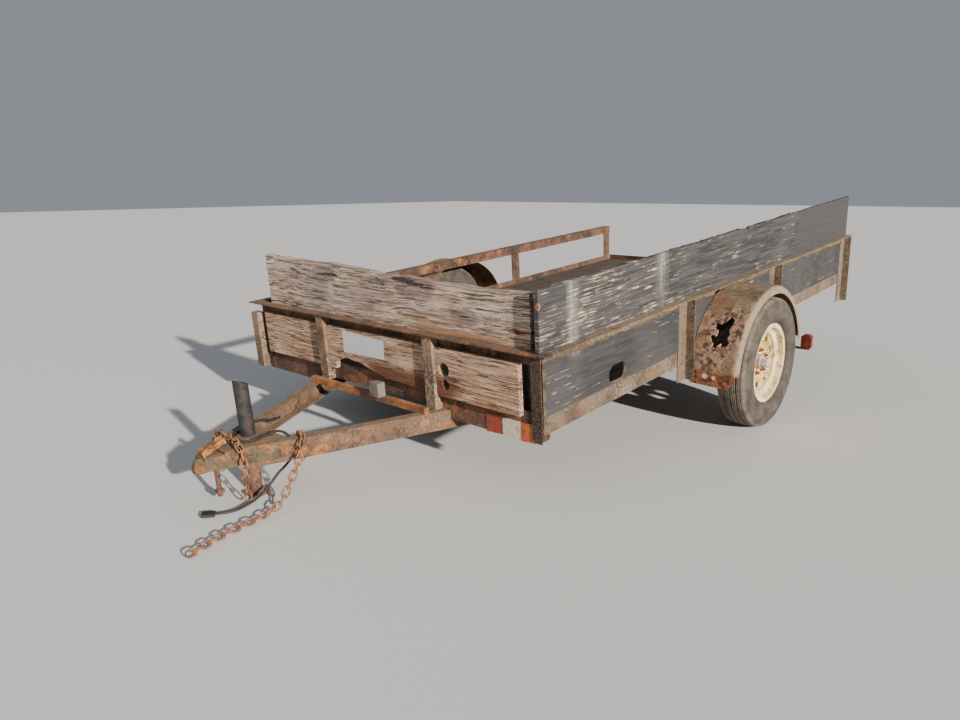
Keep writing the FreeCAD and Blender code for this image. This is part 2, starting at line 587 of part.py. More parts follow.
def leaf(top_z, share):
    """One leaf: an arc band, low in the middle, over a share of the eye to eye length."""
    reach = math.asin(share * D["spring_half"] / arc_rad)
    centre = V(0, 0, top_z + arc_rad)
    band = []
    for rad in (arc_rad, arc_rad + D["leaf_thick"]):
        points = [centre + V(rad * math.sin(a), 0, -rad * math.cos(a)) for a in (-reach, 0, reach)]
        band.append(Part.Arc(*points).toShape())
    ends = [Part.makeLine(band[0].Vertexes[k].Point, band[1].Vertexes[k].Point) for k in (0, 1)]
    face = Part.Face(Part.Wire(Part.__sortEdges__(band + ends)))
    return face.extrude(V(0, D["spring_wide"], 0))


for side, sign in SIDES:
    pack = None
    for number, share in LEAVES:
        one = leaf(pack_top - number * D["leaf_thick"], share)
        pack = one if pack is None else pack.fuse(one)
    eye_z = pack_top + D["spring_rise"]
    for end in (-1, 1):
        eye = Part.makeCylinder(D["eye_rad"], D["spring_wide"], V(end * (D["spring_half"] + 6), 0, eye_z - 2), V(0, 1, 0))
        pack = pack.fuse(eye).cut(Part.makeCylinder(7, D["spring_wide"] + 4, V(end * (D["spring_half"] + 6), -2, eye_z - 2), V(0, 1, 0)))
    nodes["spring_" + side] = feature(
        "spring_" + side, pack.removeSplitter(), ("0", "%d * %f - spring_wide / 2" % (sign, spring_y), "0"))
    hangers = []
    for end in (-1, 1):
        pin = Part.makeCylinder(7, D["spring_wide"] + 14, V(0, -7, 0), V(0, 1, 0))
        shape = pin
        for gap in (-5.0, D["spring_wide"]):
            cheek = Part.makeBox(44, 5, D["deck_low"] - eye_z + 16, V(-22, gap, -14))
            shape = shape.fuse(cheek)
        shape = shape.fuse(Part.makeBox(44, D["spring_wide"] + 10, 5, V(-22, -5, D["deck_low"] - eye_z - 3)))
        hangers.append(feature("hanger_%s_%d" % (side, end + 1), shape.removeSplitter(),
                               (str(end * (D["spring_half"] + 6)), "%d * %f - spring_wide / 2" % (sign, spring_y), str(eye_z - 2))))
    seat = Part.makeBox(90, D["spring_wide"] + 12, 6, V(-45, -6, pack_top - 3 * D["leaf_thick"] - 6))
    for x in (-31, 31):
        for y in (-0.0, D["spring_wide"]):
            seat = seat.fuse(Part.makeCylinder(5, D["axle_rad"] * 2 + 3 * D["leaf_thick"] + 24, V(x, y + (-5.2 if y == 0 else 5.2), pack_top - 3 * D["leaf_thick"] - 16)))
    hangers.append(feature("spring_seat_" + side, seat, ("0", "%d * %f - spring_wide / 2" % (sign, spring_y), "0")))
    nodes["spring_mounts_" + side] = group("spring_mounts_" + side, hangers)

# Wheels: tyre, pressed rim with a ring of vents, hub and nuts, built at the origin about Y


def revolved(points, arcs=()):
    """Turn a closed outline of (y, radius) points about the Y axis.

    arcs maps the number of an edge to the middle point that bends it.
    """
    arcs = dict(arcs)
    edges = []
    for i, (y, r) in enumerate(points):
        y2, r2 = points[(i + 1) % len(points)]
        a, b = V(0, y, r), V(0, y2, r2)
        if i in arcs:
            my, mr = arcs[i]
            edges.append(Part.Arc(a, V(0, my, mr), b).toShape())
        else:
            edges.append(Part.makeLine(a, b))
    return Part.Face(Part.Wire(edges)).revolve(V(0, 0, 0), V(0, 1, 0), 360)


half = D["tyre_wide"] / 2
crown = D["tyre_rad"]
tread = half - 21
groove_deep = 6
bead_y = D["rim_wide"] / 2 - D["rim_skin"] - 0.3
bulge = (D["bead_rad"] + crown) / 2 + 6
tyre_outline = [(-bead_y, D["bead_rad"]), (-bead_y, D["rim_lip_rad"] + 2), (-half, bulge), (-tread, crown - 4)]
GROOVES = (-28, 0, 28)
for middle in GROOVES:
    tyre_outline += [(middle - 5, crown), (middle - 3, crown - groove_deep), (middle + 3, crown - groove_deep), (middle + 5, crown)]
tyre_outline += [(tread, crown - 4), (half, bulge), (bead_y, D["rim_lip_rad"] + 2), (bead_y, D["bead_rad"])]
tyre_outline += [
    (bead_y - 9, D["bead_rad"]), (bead_y - 7, D["rim_lip_rad"] + 8), (half - 16, bulge), (tread - 12, crown - 16),
    (-tread + 12, crown - 16), (-half + 16, bulge), (-bead_y + 7, D["rim_lip_rad"] + 8), (-bead_y + 9, D["bead_rad"]),
]
last_side = len(GROOVES) * 4 + 4
tyre_arcs = {
    1: (-half + 7, D["rim_lip_rad"] + 24),
    2: (-half + 5, crown - 30),
    last_side: (half - 5, crown - 30),
    last_side + 1: (half - 7, D["rim_lip_rad"] + 24),
}
tyre_shape = revolved(tyre_outline, tyre_arcs)

rim_half = D["rim_wide"] / 2
seat_rad = D["bead_rad"] - 2
lip_rad = D["rim_lip_rad"]
rs = D["rim_skin"]
barrel = [
    (-rim_half, lip_rad), (-rim_half + rs, lip_rad), (-rim_half + rs, seat_rad), (-rim_half + 26, seat_rad - 2), (-20, 142),
    (22, 142), (rim_half - 26, seat_rad - 2), (rim_half - rs, seat_rad), (rim_half - rs, lip_rad), (rim_half, lip_rad),
    (rim_half, seat_rad - rs), (rim_half - 24, seat_rad - 2 - rs), (22, 142 - rs), (-20, 142 - rs), (-rim_half + 24, seat_rad - 2 - rs),
    (-rim_half, seat_rad - rs),
]
out = D["disc_out"]
disc = [
    (out - 8, 0 + D["cap_rad"] + 9), (out - 8, 76), (out + 10, 96), (out + 10, 124), (out - 10, 142 - rs), (out - 18, 142 - rs),
    (out - 18, 134), (out + 5, 120), (out + 5, 98), (out - 13, 78), (out - 13, D["cap_rad"] + 9),
]
VENTS = 8
rim_shape = revolved(barrel).fuse(revolved(disc))
vent = D["vent_rad"]
ring = D["vent_ring"]
vent_face = Part.Face(Part.makePolygon([
    V(-vent * 0.55, -20, ring - vent * 0.75), V(vent * 0.55, -20, ring - vent * 0.75),
    V(vent, -20, ring + vent * 0.8), V(-vent, -20, ring + vent * 0.8), V(-vent * 0.55, -20, ring - vent * 0.75)]))
vents = []
for number in range(VENTS):
    hole = vent_face.extrude(V(0, 90, 0))
    hole.rotate(V(0, 0, 0), V(0, 1, 0), (number + 0.5) * 360.0 / VENTS)
    vents.append(hole)
rim_shape = rim_shape.cut(vents).removeSplitter()

bore = D["spindle_rad"] + D["running"]
cap = D["cap_rad"]
hub_outline = [
    (-58, bore), (-58, D["hub_rad"]), (out - 25, D["hub_rad"]), (out - 25, 70), (out - 13.0, 70), (out - 13.0, cap + 8),
    (out + 12, cap + 8), (out + 12, cap), (out + 40, cap), (out + 44, cap - 6), (out + 44, 0), (out + 24, 0), (out + 24, bore),
]
hub_shape = revolved(hub_outline)
NUTS = 5
nut_face = Part.Face(Part.makePolygon([
    V(D["nut_flat"] / math.sqrt(3) * math.cos(math.radians(60 * k)), out - 8, D["nut_flat"] / math.sqrt(3) * math.sin(math.radians(60 * k)))
    for k in range(7)]))
nut = nut_face.extrude(V(0, 15, 0)).fuse(Part.makeCylinder(5.5, 24, V(0, out - 8, 0), V(0, 1, 0)))
nut_list = []
for number in range(NUTS):
    one = nut.copy()
    one.translate(V(0, 0, D["lug_ring"]))
    one.rotate(V(0, 0, 0), V(0, 1, 0), number * 360.0 / NUTS)
    nut_list.append(one)
hub_shape = Part.makeCompound([hub_shape] + nut_list)

for side, sign in SIDES:
    outward = [] if sign > 0 else [turned("0; 0; 1", "180")]
    at = ("0", "%d * (bed_wide / 2 + tyre_gap + tyre_wide / 2)" % sign, "tyre_rad")
    for name, shape in (("tyre", tyre_shape), ("rim", rim_shape), ("hub", hub_shape)):
        nodes["%s_%s" % (name, side)] = feature("%s_%s" % (name, side), shape, at, *outward)

# Fenders: rolled sheet with a rounded shoulder and lip, and a flat lower front plate

fr, fs, fb, fl = D["fender_rad"], D["fender_skin"], D["fender_bend"], D["fender_lip"]
f_out = D["bed_wide"] / 2 + D["tyre_gap"] + D["tyre_wide"] / 2 + D["fender_over"]
FENDER_FROM, FENDER_TO = 8, 170
ib = fb - fs


def quarter(y, z, radius):
    """Quarter arc from straight up round to straight out, about (y, z)."""
    bend = radius * math.sqrt(0.5)
    return Part.Arc(V(0, y, z + radius), V(0, y + bend, z + bend), V(0, y + radius, z)).toShape()


def fender(inner_edge):
    profile = [
        Part.makeLine(V(0, inner_edge, fr), V(0, f_out - fb, fr)), quarter(f_out - fb, fr - fb, fb),
        Part.makeLine(V(0, f_out, fr - fb), V(0, f_out, fr - fl)), Part.makeLine(V(0, f_out, fr - fl), V(0, f_out - fs, fr - fl)),
        Part.makeLine(V(0, f_out - fs, fr - fl), V(0, f_out - fs, fr - fb)), quarter(f_out - fb, fr - fb, ib),
        Part.makeLine(V(0, f_out - fb, fr - fs), V(0, inner_edge, fr - fs)), Part.makeLine(V(0, inner_edge, fr - fs), V(0, inner_edge, fr)),
    ]
    face = Part.Face(Part.Wire(profile))
    face.rotate(V(0, 0, 0), V(0, 1, 0), 90 - FENDER_FROM)
    arch = face.revolve(V(0, 0, 0), V(0, 1, 0), -(FENDER_TO - FENDER_FROM))
    plate_x = fr * math.cos(math.radians(FENDER_FROM)) - fs
    plate_top = fr * math.sin(math.radians(FENDER_FROM)) + 1
    corners = [(inner_edge, plate_top), (inner_edge, 0), (f_out - 34, -6), (f_out - fs, plate_top)]
    plate = Part.Face(Part.makePolygon([V(plate_x, y, up) for y, up in corners + corners[:1]])).extrude(V(fs, 0, 0))
    return arch.fuse(plate)


hole_outline = [
    # y from the fender's outer edge, height above its arc's centre: the rusted-through patch on the left fender
    (f_out - 79, 285), (f_out - 65, 275), (f_out - 74, 239), (f_out - 71, 209), (f_out - 59, 186), (f_out - 70, 177),
    (f_out - 108, 172), (f_out - 117, 154), (f_out - 125, 161), (f_out - 119, 178), (f_out - 141, 208), (f_out - 110, 216),
    (f_out - 135, 252), (f_out - 92, 269),
]
hole = Part.Face(Part.makePolygon([V(200, y, up) for y, up in hole_outline + hole_outline[:1]])).extrude(V(220, 0, 0))
FENDER_AT = ("fender_x", "0", "fender_z")
nodes["fender_left"] = feature("fender_left", fender(D["bed_wide"] / 2 + D["board_skin"]).cut(hole), FENDER_AT)
nodes["fender_right"] = feature("fender_right", fender(D["bed_wide"] / 2).mirror(V(0, 0, 0), V(0, 1, 0)),
                                ("fender_x", "0", "fender_z - fender_sag"))

# Tail lamps on arms behind the wheels

lamps = []
lamp_arms = []
for side, sign in SIDES:
    arm_y = "bed_wide / 2" if sign > 0 else "-lamp_y + 8"
    arm = box("lamp_arm_%s_bar" % side, ("32", "lamp_y - 8 - bed_wide / 2", "4"), ("-lamp_x - 46", arm_y, "deck_low - 110"))
    tab_y = "lamp_y - 34" if sign > 0 else "-lamp_y + 8"
    tab = box("lamp_arm_%s_tab" % side, ("4", "26", "48"), ("-lamp_x - 46", tab_y, "deck_low - 106"))
    root_y = "bed_wide / 2" if sign > 0 else "-bed_wide / 2 - 4"
    root = box("lamp_arm_%s_root" % side, ("32", "4", "116"), ("-lamp_x - 46", root_y, "deck_low - 106"))
    lamp_arms.append(fuse("lamp_arm_" + side, [arm, tab, root]))
    lens = Part.makeCylinder(36, 30, V(0, 0, 0), V(1, 0, 0)).common(Part.makeBox(30, 50, 72, V(0, -25, -36)))
    lamps.append(feature(
        "tail_lamp_" + side, lens, ("-lamp_x - 42", "%d * (lamp_y - 25)" % sign, "deck_low - 69")))
nodes["lamp_arms"] = group("lamp_arms", lamp_arms)
nodes["tail_lamps"] = group("tail_lamps", lamps)

# Safety chains: each link is a flat ring, set along a path and turned a quarter from the last


def link_shape():
    wire, long_in, wide_in = D["link_wire"], D["link_long"], D["link_wide"]
    rings = []
    for grow in (0, wire):
        hl, hw = long_in / 2 + grow, wide_in / 2 + grow
        bevel = wide_in / 2 * 0.6 + grow * 0.6
        corners = [(hl, hw - bevel), (hl - bevel, hw), (-hl + bevel, hw), (-hl, hw - bevel),
                   (-hl, -hw + bevel), (-hl + bevel, -hw), (hl - bevel, -hw), (hl, -hw + bevel)]
        outline = Part.makePolygon([V(x, y, -wire / 2) for x, y in corners + corners[:1]])
        rings.append(Part.Face(outline).extrude(V(0, 0, wire)))
    return rings[1].cut(rings[0])


def rounded_path(points, radius):
    """Straight runs joined by arcs of about the given radius; returns sample points and tangents."""
    edges = []
    last = V(*points[0])
    for i in range(1, len(points) - 1):
        a, b, c = V(*points[i - 1]), V(*points[i]), V(*points[i + 1])
        u, w = (a - b).normalize(), (c - b).normalize()
        half_turn = (math.pi - u.getAngle(w)) / 2
        cut_back = min(radius * math.tan(half_turn), 0.45 * (a - b).Length, 0.45 * (c - b).Length)
        start, end = b + u * cut_back, b + w * cut_back
        bisector = (u + w).normalize()
        rad = cut_back / math.tan(half_turn)
        middle = b + bisector * (rad / math.cos(half_turn) - rad)
        if (start - last).Length > 0.01:
            edges.append(Part.makeLine(last, start))
        edges.append(Part.Arc(start, middle, end).toShape())
        last = end
    edges.append(Part.makeLine(last, V(*points[-1])))
    return Part.Wire(edges)


def chain(label, points, radius, roll):
    path = rounded_path(points, radius)
    pitch = D["link_long"] - 0.8
    count = int(path.Length / pitch)
    spots = path.discretize(Number=count * 8 + 1)
    links = []
    for number in range(count):
        a, b = spots[number * 8 + 1], spots[number * 8 + 7]
        middle = (a + b) * 0.5
        heading = (b - a).normalize()
        one = link_shape()
        one.rotate(V(0, 0, 0), V(1, 0, 0), roll + 90 * (number % 2))
        turn = FreeCAD.Rotation(V(1, 0, 0), heading)
        one.Placement = FreeCAD.Placement(middle, turn).multiply(one.Placement)
        links.append(one)
    print(label, "links", count, "pitch", round(path.Length / count, 2))
    return Part.makeCompound(links)


def ground_z(x):
    """Height of the ground in the deck frame."""
    return D["tyre_rad"] + (math.sin(tilt) * x - D["tyre_rad"]) / math.cos(tilt)


LIFT = 7
drape = D["chain_drape"]
rail_top = D["deck_low"]
cover = rail_top + skin
near_chain = [
    # over the left rail behind the coupler, down to the ground and along it
    (1886, 102, rail_top - 110), (1892, 100, rail_top + drape + 4.6), (1932, 224, rail_top + drape + 4.6),
    (1990, 208, ground_z(1990) + 120), (2062, 212, ground_z(2062) + 26), (2143, 230, ground_z(2143) + drape + LIFT),
    (2300, 253, ground_z(2300) + drape + LIFT), (2440, 300, ground_z(2440) + drape + LIFT),
]
nodes["chain_left"] = feature("chain_left", chain("chain_left", near_chain, 74, 45))
nose_chain = [
    # across the coupler in front of the jack and down both sides
    (2100, -110, rail_top - 130), (2102, -110, cover + drape + 18.7), (2117, 109, cover + drape + 18.7), (2122, 109, rail_top - 172),
]
nodes["chain_right"] = feature("chain_right", chain("chain_right", nose_chain, 66, 45))

# Wiring cable: out of the right tongue channel, round the jack, under the coupler and down to the ground

cable_on = cover + D["cable_rad"] + 0.3
LOOP_RAD = 66
cable_points = [(1790, -182, rail_top - 36), (1840, -150, rail_top - 28), (1888, -120, rail_top + 2), (1945, -94, cable_on + 4)]
for angle in (-100, -55, -10, 35, 80, 125):
    turn_at = math.radians(angle)
    cable_points.append((D["jack_x"] + LOOP_RAD * math.cos(turn_at), LOOP_RAD * math.sin(turn_at), cable_on))
cable_points += [
    (1945, 55, cable_on + 4), (1908, 58, rail_top - 7), (1894, 64, rail_top - 49), (1906, 76, rail_top - 91),
    (1942, 86, rail_top - 115), (1985, 90, rail_top - 131), (2031, 92, rail_top - 168), (2086, 97, ground_z(2086) + 22),
    (2145, 105, ground_z(2145) + 6 + LIFT), (2200, 109, ground_z(2200) + 6 + LIFT), (2237, 81, ground_z(2237) + 6 + LIFT),
]


def cord_tube(label, points, radius):
    """A tube along straight runs joined by tangent arcs as large as the runs allow."""
    edges = []
    last = V(*points[0])
    radii = []
    for i in range(1, len(points) - 1):
        a, b, c = V(*points[i - 1]), V(*points[i]), V(*points[i + 1])
        u, w = (a - b).normalize(), (c - b).normalize()
        half_turn = (math.pi - u.getAngle(w)) / 2
        cut_back = 0.45 * min((a - b).Length, (c - b).Length)
        rad = cut_back / math.tan(half_turn)
        radii.append(round(rad))
        start, end = b + u * cut_back, b + w * cut_back
        middle = b + (u + w).normalize() * (rad / math.cos(half_turn) - rad)
        edges.append(Part.makeLine(last, start))
        edges.append(Part.Arc(start, middle, end).toShape())
        last = end
    edges.append(Part.makeLine(last, V(*points[-1])))
    path = Part.Wire(edges)
    first = (V(*points[1]) - V(*points[0])).normalize()
    ring_wire = Part.Wire([Part.makeCircle(radius, V(*points[0]), first)])
    tube_shape = path.makePipeShell([ring_wire], True, True)
    share = tube_shape.Volume / (math.pi * radius ** 2 * path.Length)
    print(label, "length", round(path.Length), "radii", radii, "volume share", round(share, 4))
    return tube_shape, path


cable_shape, cable_path = cord_tube("wiring_cable", cable_points, D["cable_rad"])
nodes["wiring_cable"] = feature("wiring_cable", cable_shape)
plug_end = V(*cable_points[-1])
plug_way = (V(*cable_points[-1]) - V(*cable_points[-2])).normalize()
plug = Part.makeBox(44, 30, 11, V(0, -15, -5.6))
plug.Placement = FreeCAD.Placement(plug_end, FreeCAD.Rotation(V(1, 0, 0), plug_way))
nodes["cable_plug"] = feature("cable_plug", Part.makeCompound([plug]))

# Build, centre the stance, check and write out

doc.recompute()

CORD_NODES = ("wiring_cable", "cable_plug")
low_x = min(part.Shape.BoundBox.XMin for name, part in nodes.items() if name not in CORD_NODES)
high_x = max(part.Shape.BoundBox.XMax for name, part in nodes.items() if name not in CORD_NODES)
stance.stand_shift = -(low_x + high_x) / 2
doc.recompute()
print("stand_shift", round(stance.stand_shift, 3))

for obj in doc.Objects:
    if "Invalid" in obj.State or "Error" in obj.State:
        raise RuntimeError("%s failed: %s" % (obj.Label, obj.State))
for name, part in nodes.items():
    if part.Shape.isNull() or not part.Shape.isValid() or part.Shape.Volume <= 0:
        raise RuntimeError("%s has no valid solid" % name)

os.makedirs("parts", exist_ok=True)
for name, part in nodes.items():
    part.Shape.exportStep(os.path.join("parts", name + ".step"))
print("wrote", len(nodes), "parts")
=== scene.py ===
import math

import bmesh
import bpy
import numpy as np
from mathutils import Matrix, Vector, noise


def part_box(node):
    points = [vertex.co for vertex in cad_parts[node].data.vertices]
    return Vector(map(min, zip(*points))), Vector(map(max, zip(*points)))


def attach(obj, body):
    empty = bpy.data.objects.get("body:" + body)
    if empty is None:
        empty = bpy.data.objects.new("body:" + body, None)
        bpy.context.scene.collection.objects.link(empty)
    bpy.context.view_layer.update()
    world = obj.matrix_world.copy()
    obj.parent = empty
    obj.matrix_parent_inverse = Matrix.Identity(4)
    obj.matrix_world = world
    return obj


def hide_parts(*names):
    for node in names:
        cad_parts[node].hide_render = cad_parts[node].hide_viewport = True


# Utility trailer. Pieces are made in the level deck frame (metres, X forward from the axle,
# Y left, Z up from the ground line) and tilted nose-down into the row frame.

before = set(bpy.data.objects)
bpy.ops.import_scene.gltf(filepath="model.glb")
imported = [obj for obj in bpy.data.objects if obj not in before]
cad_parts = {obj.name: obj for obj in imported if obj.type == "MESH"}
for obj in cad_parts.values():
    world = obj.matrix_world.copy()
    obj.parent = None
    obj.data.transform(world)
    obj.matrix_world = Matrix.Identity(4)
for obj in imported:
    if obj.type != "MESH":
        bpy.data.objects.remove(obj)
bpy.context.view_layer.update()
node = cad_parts

NOSE_DOWN = math.radians(4.33)
TYRE_RAD = 0.305
axle_low, axle_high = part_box("axle")
SHIFT = (axle_low.x + axle_high.x) / 2
TILT = Matrix.Rotation(NOSE_DOWN, 4, "Y")
LEVEL = Matrix.Translation((SHIFT, 0, TYRE_RAD)) @ TILT @ Matrix.Translation((0, 0, -TYRE_RAD))


def row(x, y, z):
    return LEVEL @ Vector((x, y, z))


# Camera, fitted to the photograph, and light

PICTURE_WIDE = 960
FOCAL_PIXELS = 722.03
SENSOR = 36
CAM_AT = (3.286, 2.310, 1.101)
CAM_YAW, CAM_PITCH, CAM_ROLL = 222.746, 13.455, 0.31


def turn(degrees, axis):
    return Matrix.Rotation(math.radians(degrees), 4, axis)


cam_data = bpy.data.cameras.new("camera")
cam_data.sensor_width = SENSOR
cam_data.lens = FOCAL_PIXELS / PICTURE_WIDE * SENSOR
cam = bpy.data.objects.new("camera", cam_data)
bpy.context.collection.objects.link(cam)
aim = turn(CAM_YAW - 90, "Z") @ turn(90 - CAM_PITCH, "X")
cam_place = Matrix.Translation((CAM_AT[0] + SHIFT, CAM_AT[1], CAM_AT[2]))
cam.matrix_world = cam_place @ aim @ turn(-CAM_ROLL, "Z")
bpy.context.scene.camera = cam

world = bpy.data.worlds.new("studio")
bpy.context.scene.world = world
world.use_nodes = True
world.node_tree.nodes["Background"].inputs["Color"].default_value = (0.80, 0.86, 0.95, 1)
world.node_tree.nodes["Background"].inputs["Strength"].default_value = 0.33


def lamp(name, kind, energy, color, way, spread, at=None):
    """A lamp shining from the direction way; spread is a sun's angle or an area's size."""
    data = bpy.data.lights.new(name, kind)
    data.energy = energy
    data.color = color
    if kind == "SUN":
        data.angle = spread
    else:
        data.size = spread
    made = bpy.data.objects.new(name, data)
    bpy.context.collection.objects.link(made)
    way = Vector(way).normalized()
    made.rotation_euler = way.to_track_quat("Z", "Y").to_euler()
    made.location = at or way * 6


lamp("key", "SUN", 8.4, (1.0, 0.93, 0.84), (0.22, 0.93, 0.32), 0.025)
lamp("fill", "AREA", 22, (0.9, 0.95, 1.0), (1.0, -0.2, 0.7), 3.0, at=(4.5, -1.0, 3.0))

# Materials: nodes read object coordinates turned back into the level deck frame

SEED_STEP = 7.31


class Paint:
    """A small helper that wires up one procedural material."""

    def __init__(self, name, roughness=0.85, metallic=0.0, specular=0.3):
        self.mat = bpy.data.materials.new(name)
        self.mat.use_nodes = True
        self.tree = self.mat.node_tree
        self.shader = self.tree.nodes["Principled BSDF"]
        self.shader.inputs["Roughness"].default_value = roughness
        self.shader.inputs["Metallic"].default_value = metallic
        self.shader.inputs["Specular IOR Level"].default_value = specular
        coord = self.tree.nodes.new("ShaderNodeTexCoord")
        back = self.tree.nodes.new("ShaderNodeMapping")
        back.inputs["Rotation"].default_value = (0, -NOSE_DOWN, 0)
        pivot = Vector((0, 0, TYRE_RAD))
        home = pivot - TILT.inverted().to_3x3() @ (pivot + Vector((SHIFT, 0, 0)))
        back.inputs["Location"].default_value = home
        self.put(coord.outputs["Object"], back.inputs["Vector"])
        self.where = back.outputs["Vector"]
        self.x, self.y, self.z = self.parts(self.where)
        self.seed = 0.0

    def put(self, value, socket):
        """Links a socket, or writes a number or a colour."""
        if isinstance(value, bpy.types.NodeSocket):
            self.tree.links.new(value, socket)
        elif isinstance(value, tuple) and len(value) == 3 and len(socket.default_value) == 4:
            socket.default_value = (*value, 1)
        else:
            socket.default_value = value

    def parts(self, vector):
        made = self.tree.nodes.new("ShaderNodeSeparateXYZ")
        self.put(vector, made.inputs[0])
        return made.outputs

    def vec(self, scale, shift, source=None):
        made = self.tree.nodes.new("ShaderNodeVectorMath")
        made.operation = "MULTIPLY_ADD"
        self.put(source or self.where, made.inputs[0])
        made.inputs[1].default_value = scale
        made.inputs[2].default_value = shift
        return made.outputs[0]

    def noise(self, scale, stretch=(1, 1, 1), detail=4, rough=0.55, source=None):
        """Every call takes a new part of the noise, so the order of the calls matters."""
        made = self.tree.nodes.new("ShaderNodeTexNoise")
        self.seed += SEED_STEP
        shift = (self.seed, self.seed * 0.7, -self.seed)
        self.put(self.vec(stretch, shift, source), made.inputs["Vector"])
        made.inputs["Scale"].default_value = scale
        made.inputs["Detail"].default_value = detail
        made.inputs["Roughness"].default_value = rough
        return made.outputs[0]

    def ramp(self, value, low, high, to_low=0.0, to_high=1.0):
        made = self.tree.nodes.new("ShaderNodeMapRange")
        made.interpolation_type = "SMOOTHSTEP"
        self.put(value, made.inputs[0])
        for i, amount in enumerate((low, high, to_low, to_high), start=1):
            made.inputs[i].default_value = amount
        return made.outputs[0]

    def cloud(self, scale, low, high, to_low=0.0, to_high=1.0, detail=5, rough=0.55,
              stretch=(1, 1, 1)):
        """A mask from one noise, cut between two of its levels."""
        return self.ramp(self.noise(scale, stretch, detail, rough), low, high, to_low, to_high)

    def mottle(self, scale, low, high, dark, light, detail=5, rough=0.55):
        """Two plain colours mixed by one noise."""
        return self.mix(self.cloud(scale, low, high, detail=detail, rough=rough), dark, light)

    def math(self, kind, a, b=0.0, clamp=False):
        made = self.tree.nodes.new("ShaderNodeMath")
        made.operation = kind
        made.use_clamp = clamp
        self.put(a, made.inputs[0])
        self.put(b, made.inputs[1])
        return made.outputs[0]

    def plus(self, a, b, clamp=False):
        return self.math("ADD", a, b, clamp)

    def minus(self, a, b):
        return self.math("SUBTRACT", a, b)

    def times(self, a, b):
        return self.math("MULTIPLY", a, b)

    def mix(self, share, a, b):
        made = self.tree.nodes.new("ShaderNodeMix")
        made.data_type = "RGBA"
        self.put(share, made.inputs[0])
        self.put(a, made.inputs[6])
        self.put(b, made.inputs[7])
        return made.outputs[2]

    def blobs(self, spots, stretch=(1, 1, 1), ragged=0.35, size=30):
        """Soft spots at (x, y, z, radius) with a ragged outline; returns a mask."""
        wobble = self.times(self.minus(self.noise(size, detail=3), 0.5), ragged)
        total = None
        for *at, radius in spots:
            place = self.vec(stretch, tuple(-a * b for a, b in zip(at, stretch)))
            length = self.tree.nodes.new("ShaderNodeVectorMath")
            length.operation = "LENGTH"
            self.put(place, length.inputs[0])
            away = self.plus(self.math("DIVIDE", length.outputs["Value"], radius), wobble)
            mask = self.ramp(away, 0.75, 1.1, 1, 0)
            total = mask if total is None else self.math("MAXIMUM", total, mask)
        return total

    def normal(self):
        return self.parts(self.tree.nodes.new("ShaderNodeNewGeometry").outputs["Normal"])

    def from_axle(self):
        """Distance from the wheels' axle, as seen from the side."""
        squares = [self.math("POWER", side, 2.0) for side in (self.x, self.minus(self.z, TYRE_RAD))]
        return self.math("SQRT", self.plus(*squares))

    def span(self, value, low, high, soft=0.01):
        """One between low and high, with soft ends."""
        return self.times(self.ramp(value, low - soft, low + soft),
                          self.ramp(value, high - soft, high + soft, 1, 0))

    def bump(self, height, distance, strength):
        made = self.tree.nodes.new("ShaderNodeBump")
        made.inputs["Strength"].default_value = strength
        made.inputs["Distance"].default_value = distance
        self.put(height, made.inputs["Height"])
        self.put(made.outputs[0], self.shader.inputs["Normal"])

    def done(self, color, roughness=None):
        self.put(color, self.shader.inputs["Base Color"])
        if roughness is not None:
            self.put(roughness, self.shader.inputs["Roughness"])
        return self.mat


def rust(name, dark=(0.020, 0.011, 0.008), mid=(0.095, 0.048, 0.030), orange=(0.33, 0.120, 0.036),
         dust=(0.34, 0.27, 0.20), orange_share=0.5, dust_share=0.35, scale=7.0, paint=None,
         paint_share=0.5, fleck=13.0):
    """Rusty steel with orange bloom, dust on what faces up and, if given, remains of paint."""
    p = Paint(name, roughness=0.88)
    wide = p.noise(scale, detail=6, rough=0.62)
    fine = p.noise(scale * 9, detail=5, rough=0.7)
    speck = p.noise(scale * fleck, detail=5, rough=0.72)
    color = p.mix(p.ramp(wide, 0.36, 0.60), dark, mid)
    if paint:
        drift = p.times(p.minus(p.noise(scale * 0.9), 0.5), 0.55)
        more = paint_share * 0.22
        color = p.mix(p.ramp(p.plus(speck, drift), 0.62 - more, 0.70 - more), color, paint)
    bloom = p.cloud(scale * 1.3, 0.66 - orange_share * 0.24, 0.80 - orange_share * 0.22,
                    detail=7, rough=0.68)
    color = p.mix(p.times(bloom, p.ramp(fine, 0.30, 0.62)), color, orange)
    film = p.cloud(scale * 22, 0.38, 0.68, 0, 0.45, detail=3)
    color = p.mix(film, color, p.mix(0.5, color, dust))
    lying = p.times(p.ramp(p.normal()[2], 0.45, 0.95),
                    p.cloud(scale * 5, 0.30, 0.62, 0.25, 1.0, detail=6, rough=0.7))
    color = p.mix(p.times(lying, dust_share), color, dust)
    color = p.mix(p.ramp(fine, 0.28, 0.46, 0.75, 0.0), color, dark)
    p.bump(p.plus(p.times(fine, 0.7), p.times(speck, 0.5)), 0.004, 0.6)
    return p.done(color, p.ramp(wide, 0.3, 0.7, 0.95, 0.72))


ALONG_X, ALONG_Y, ALONG_Z = range(3)


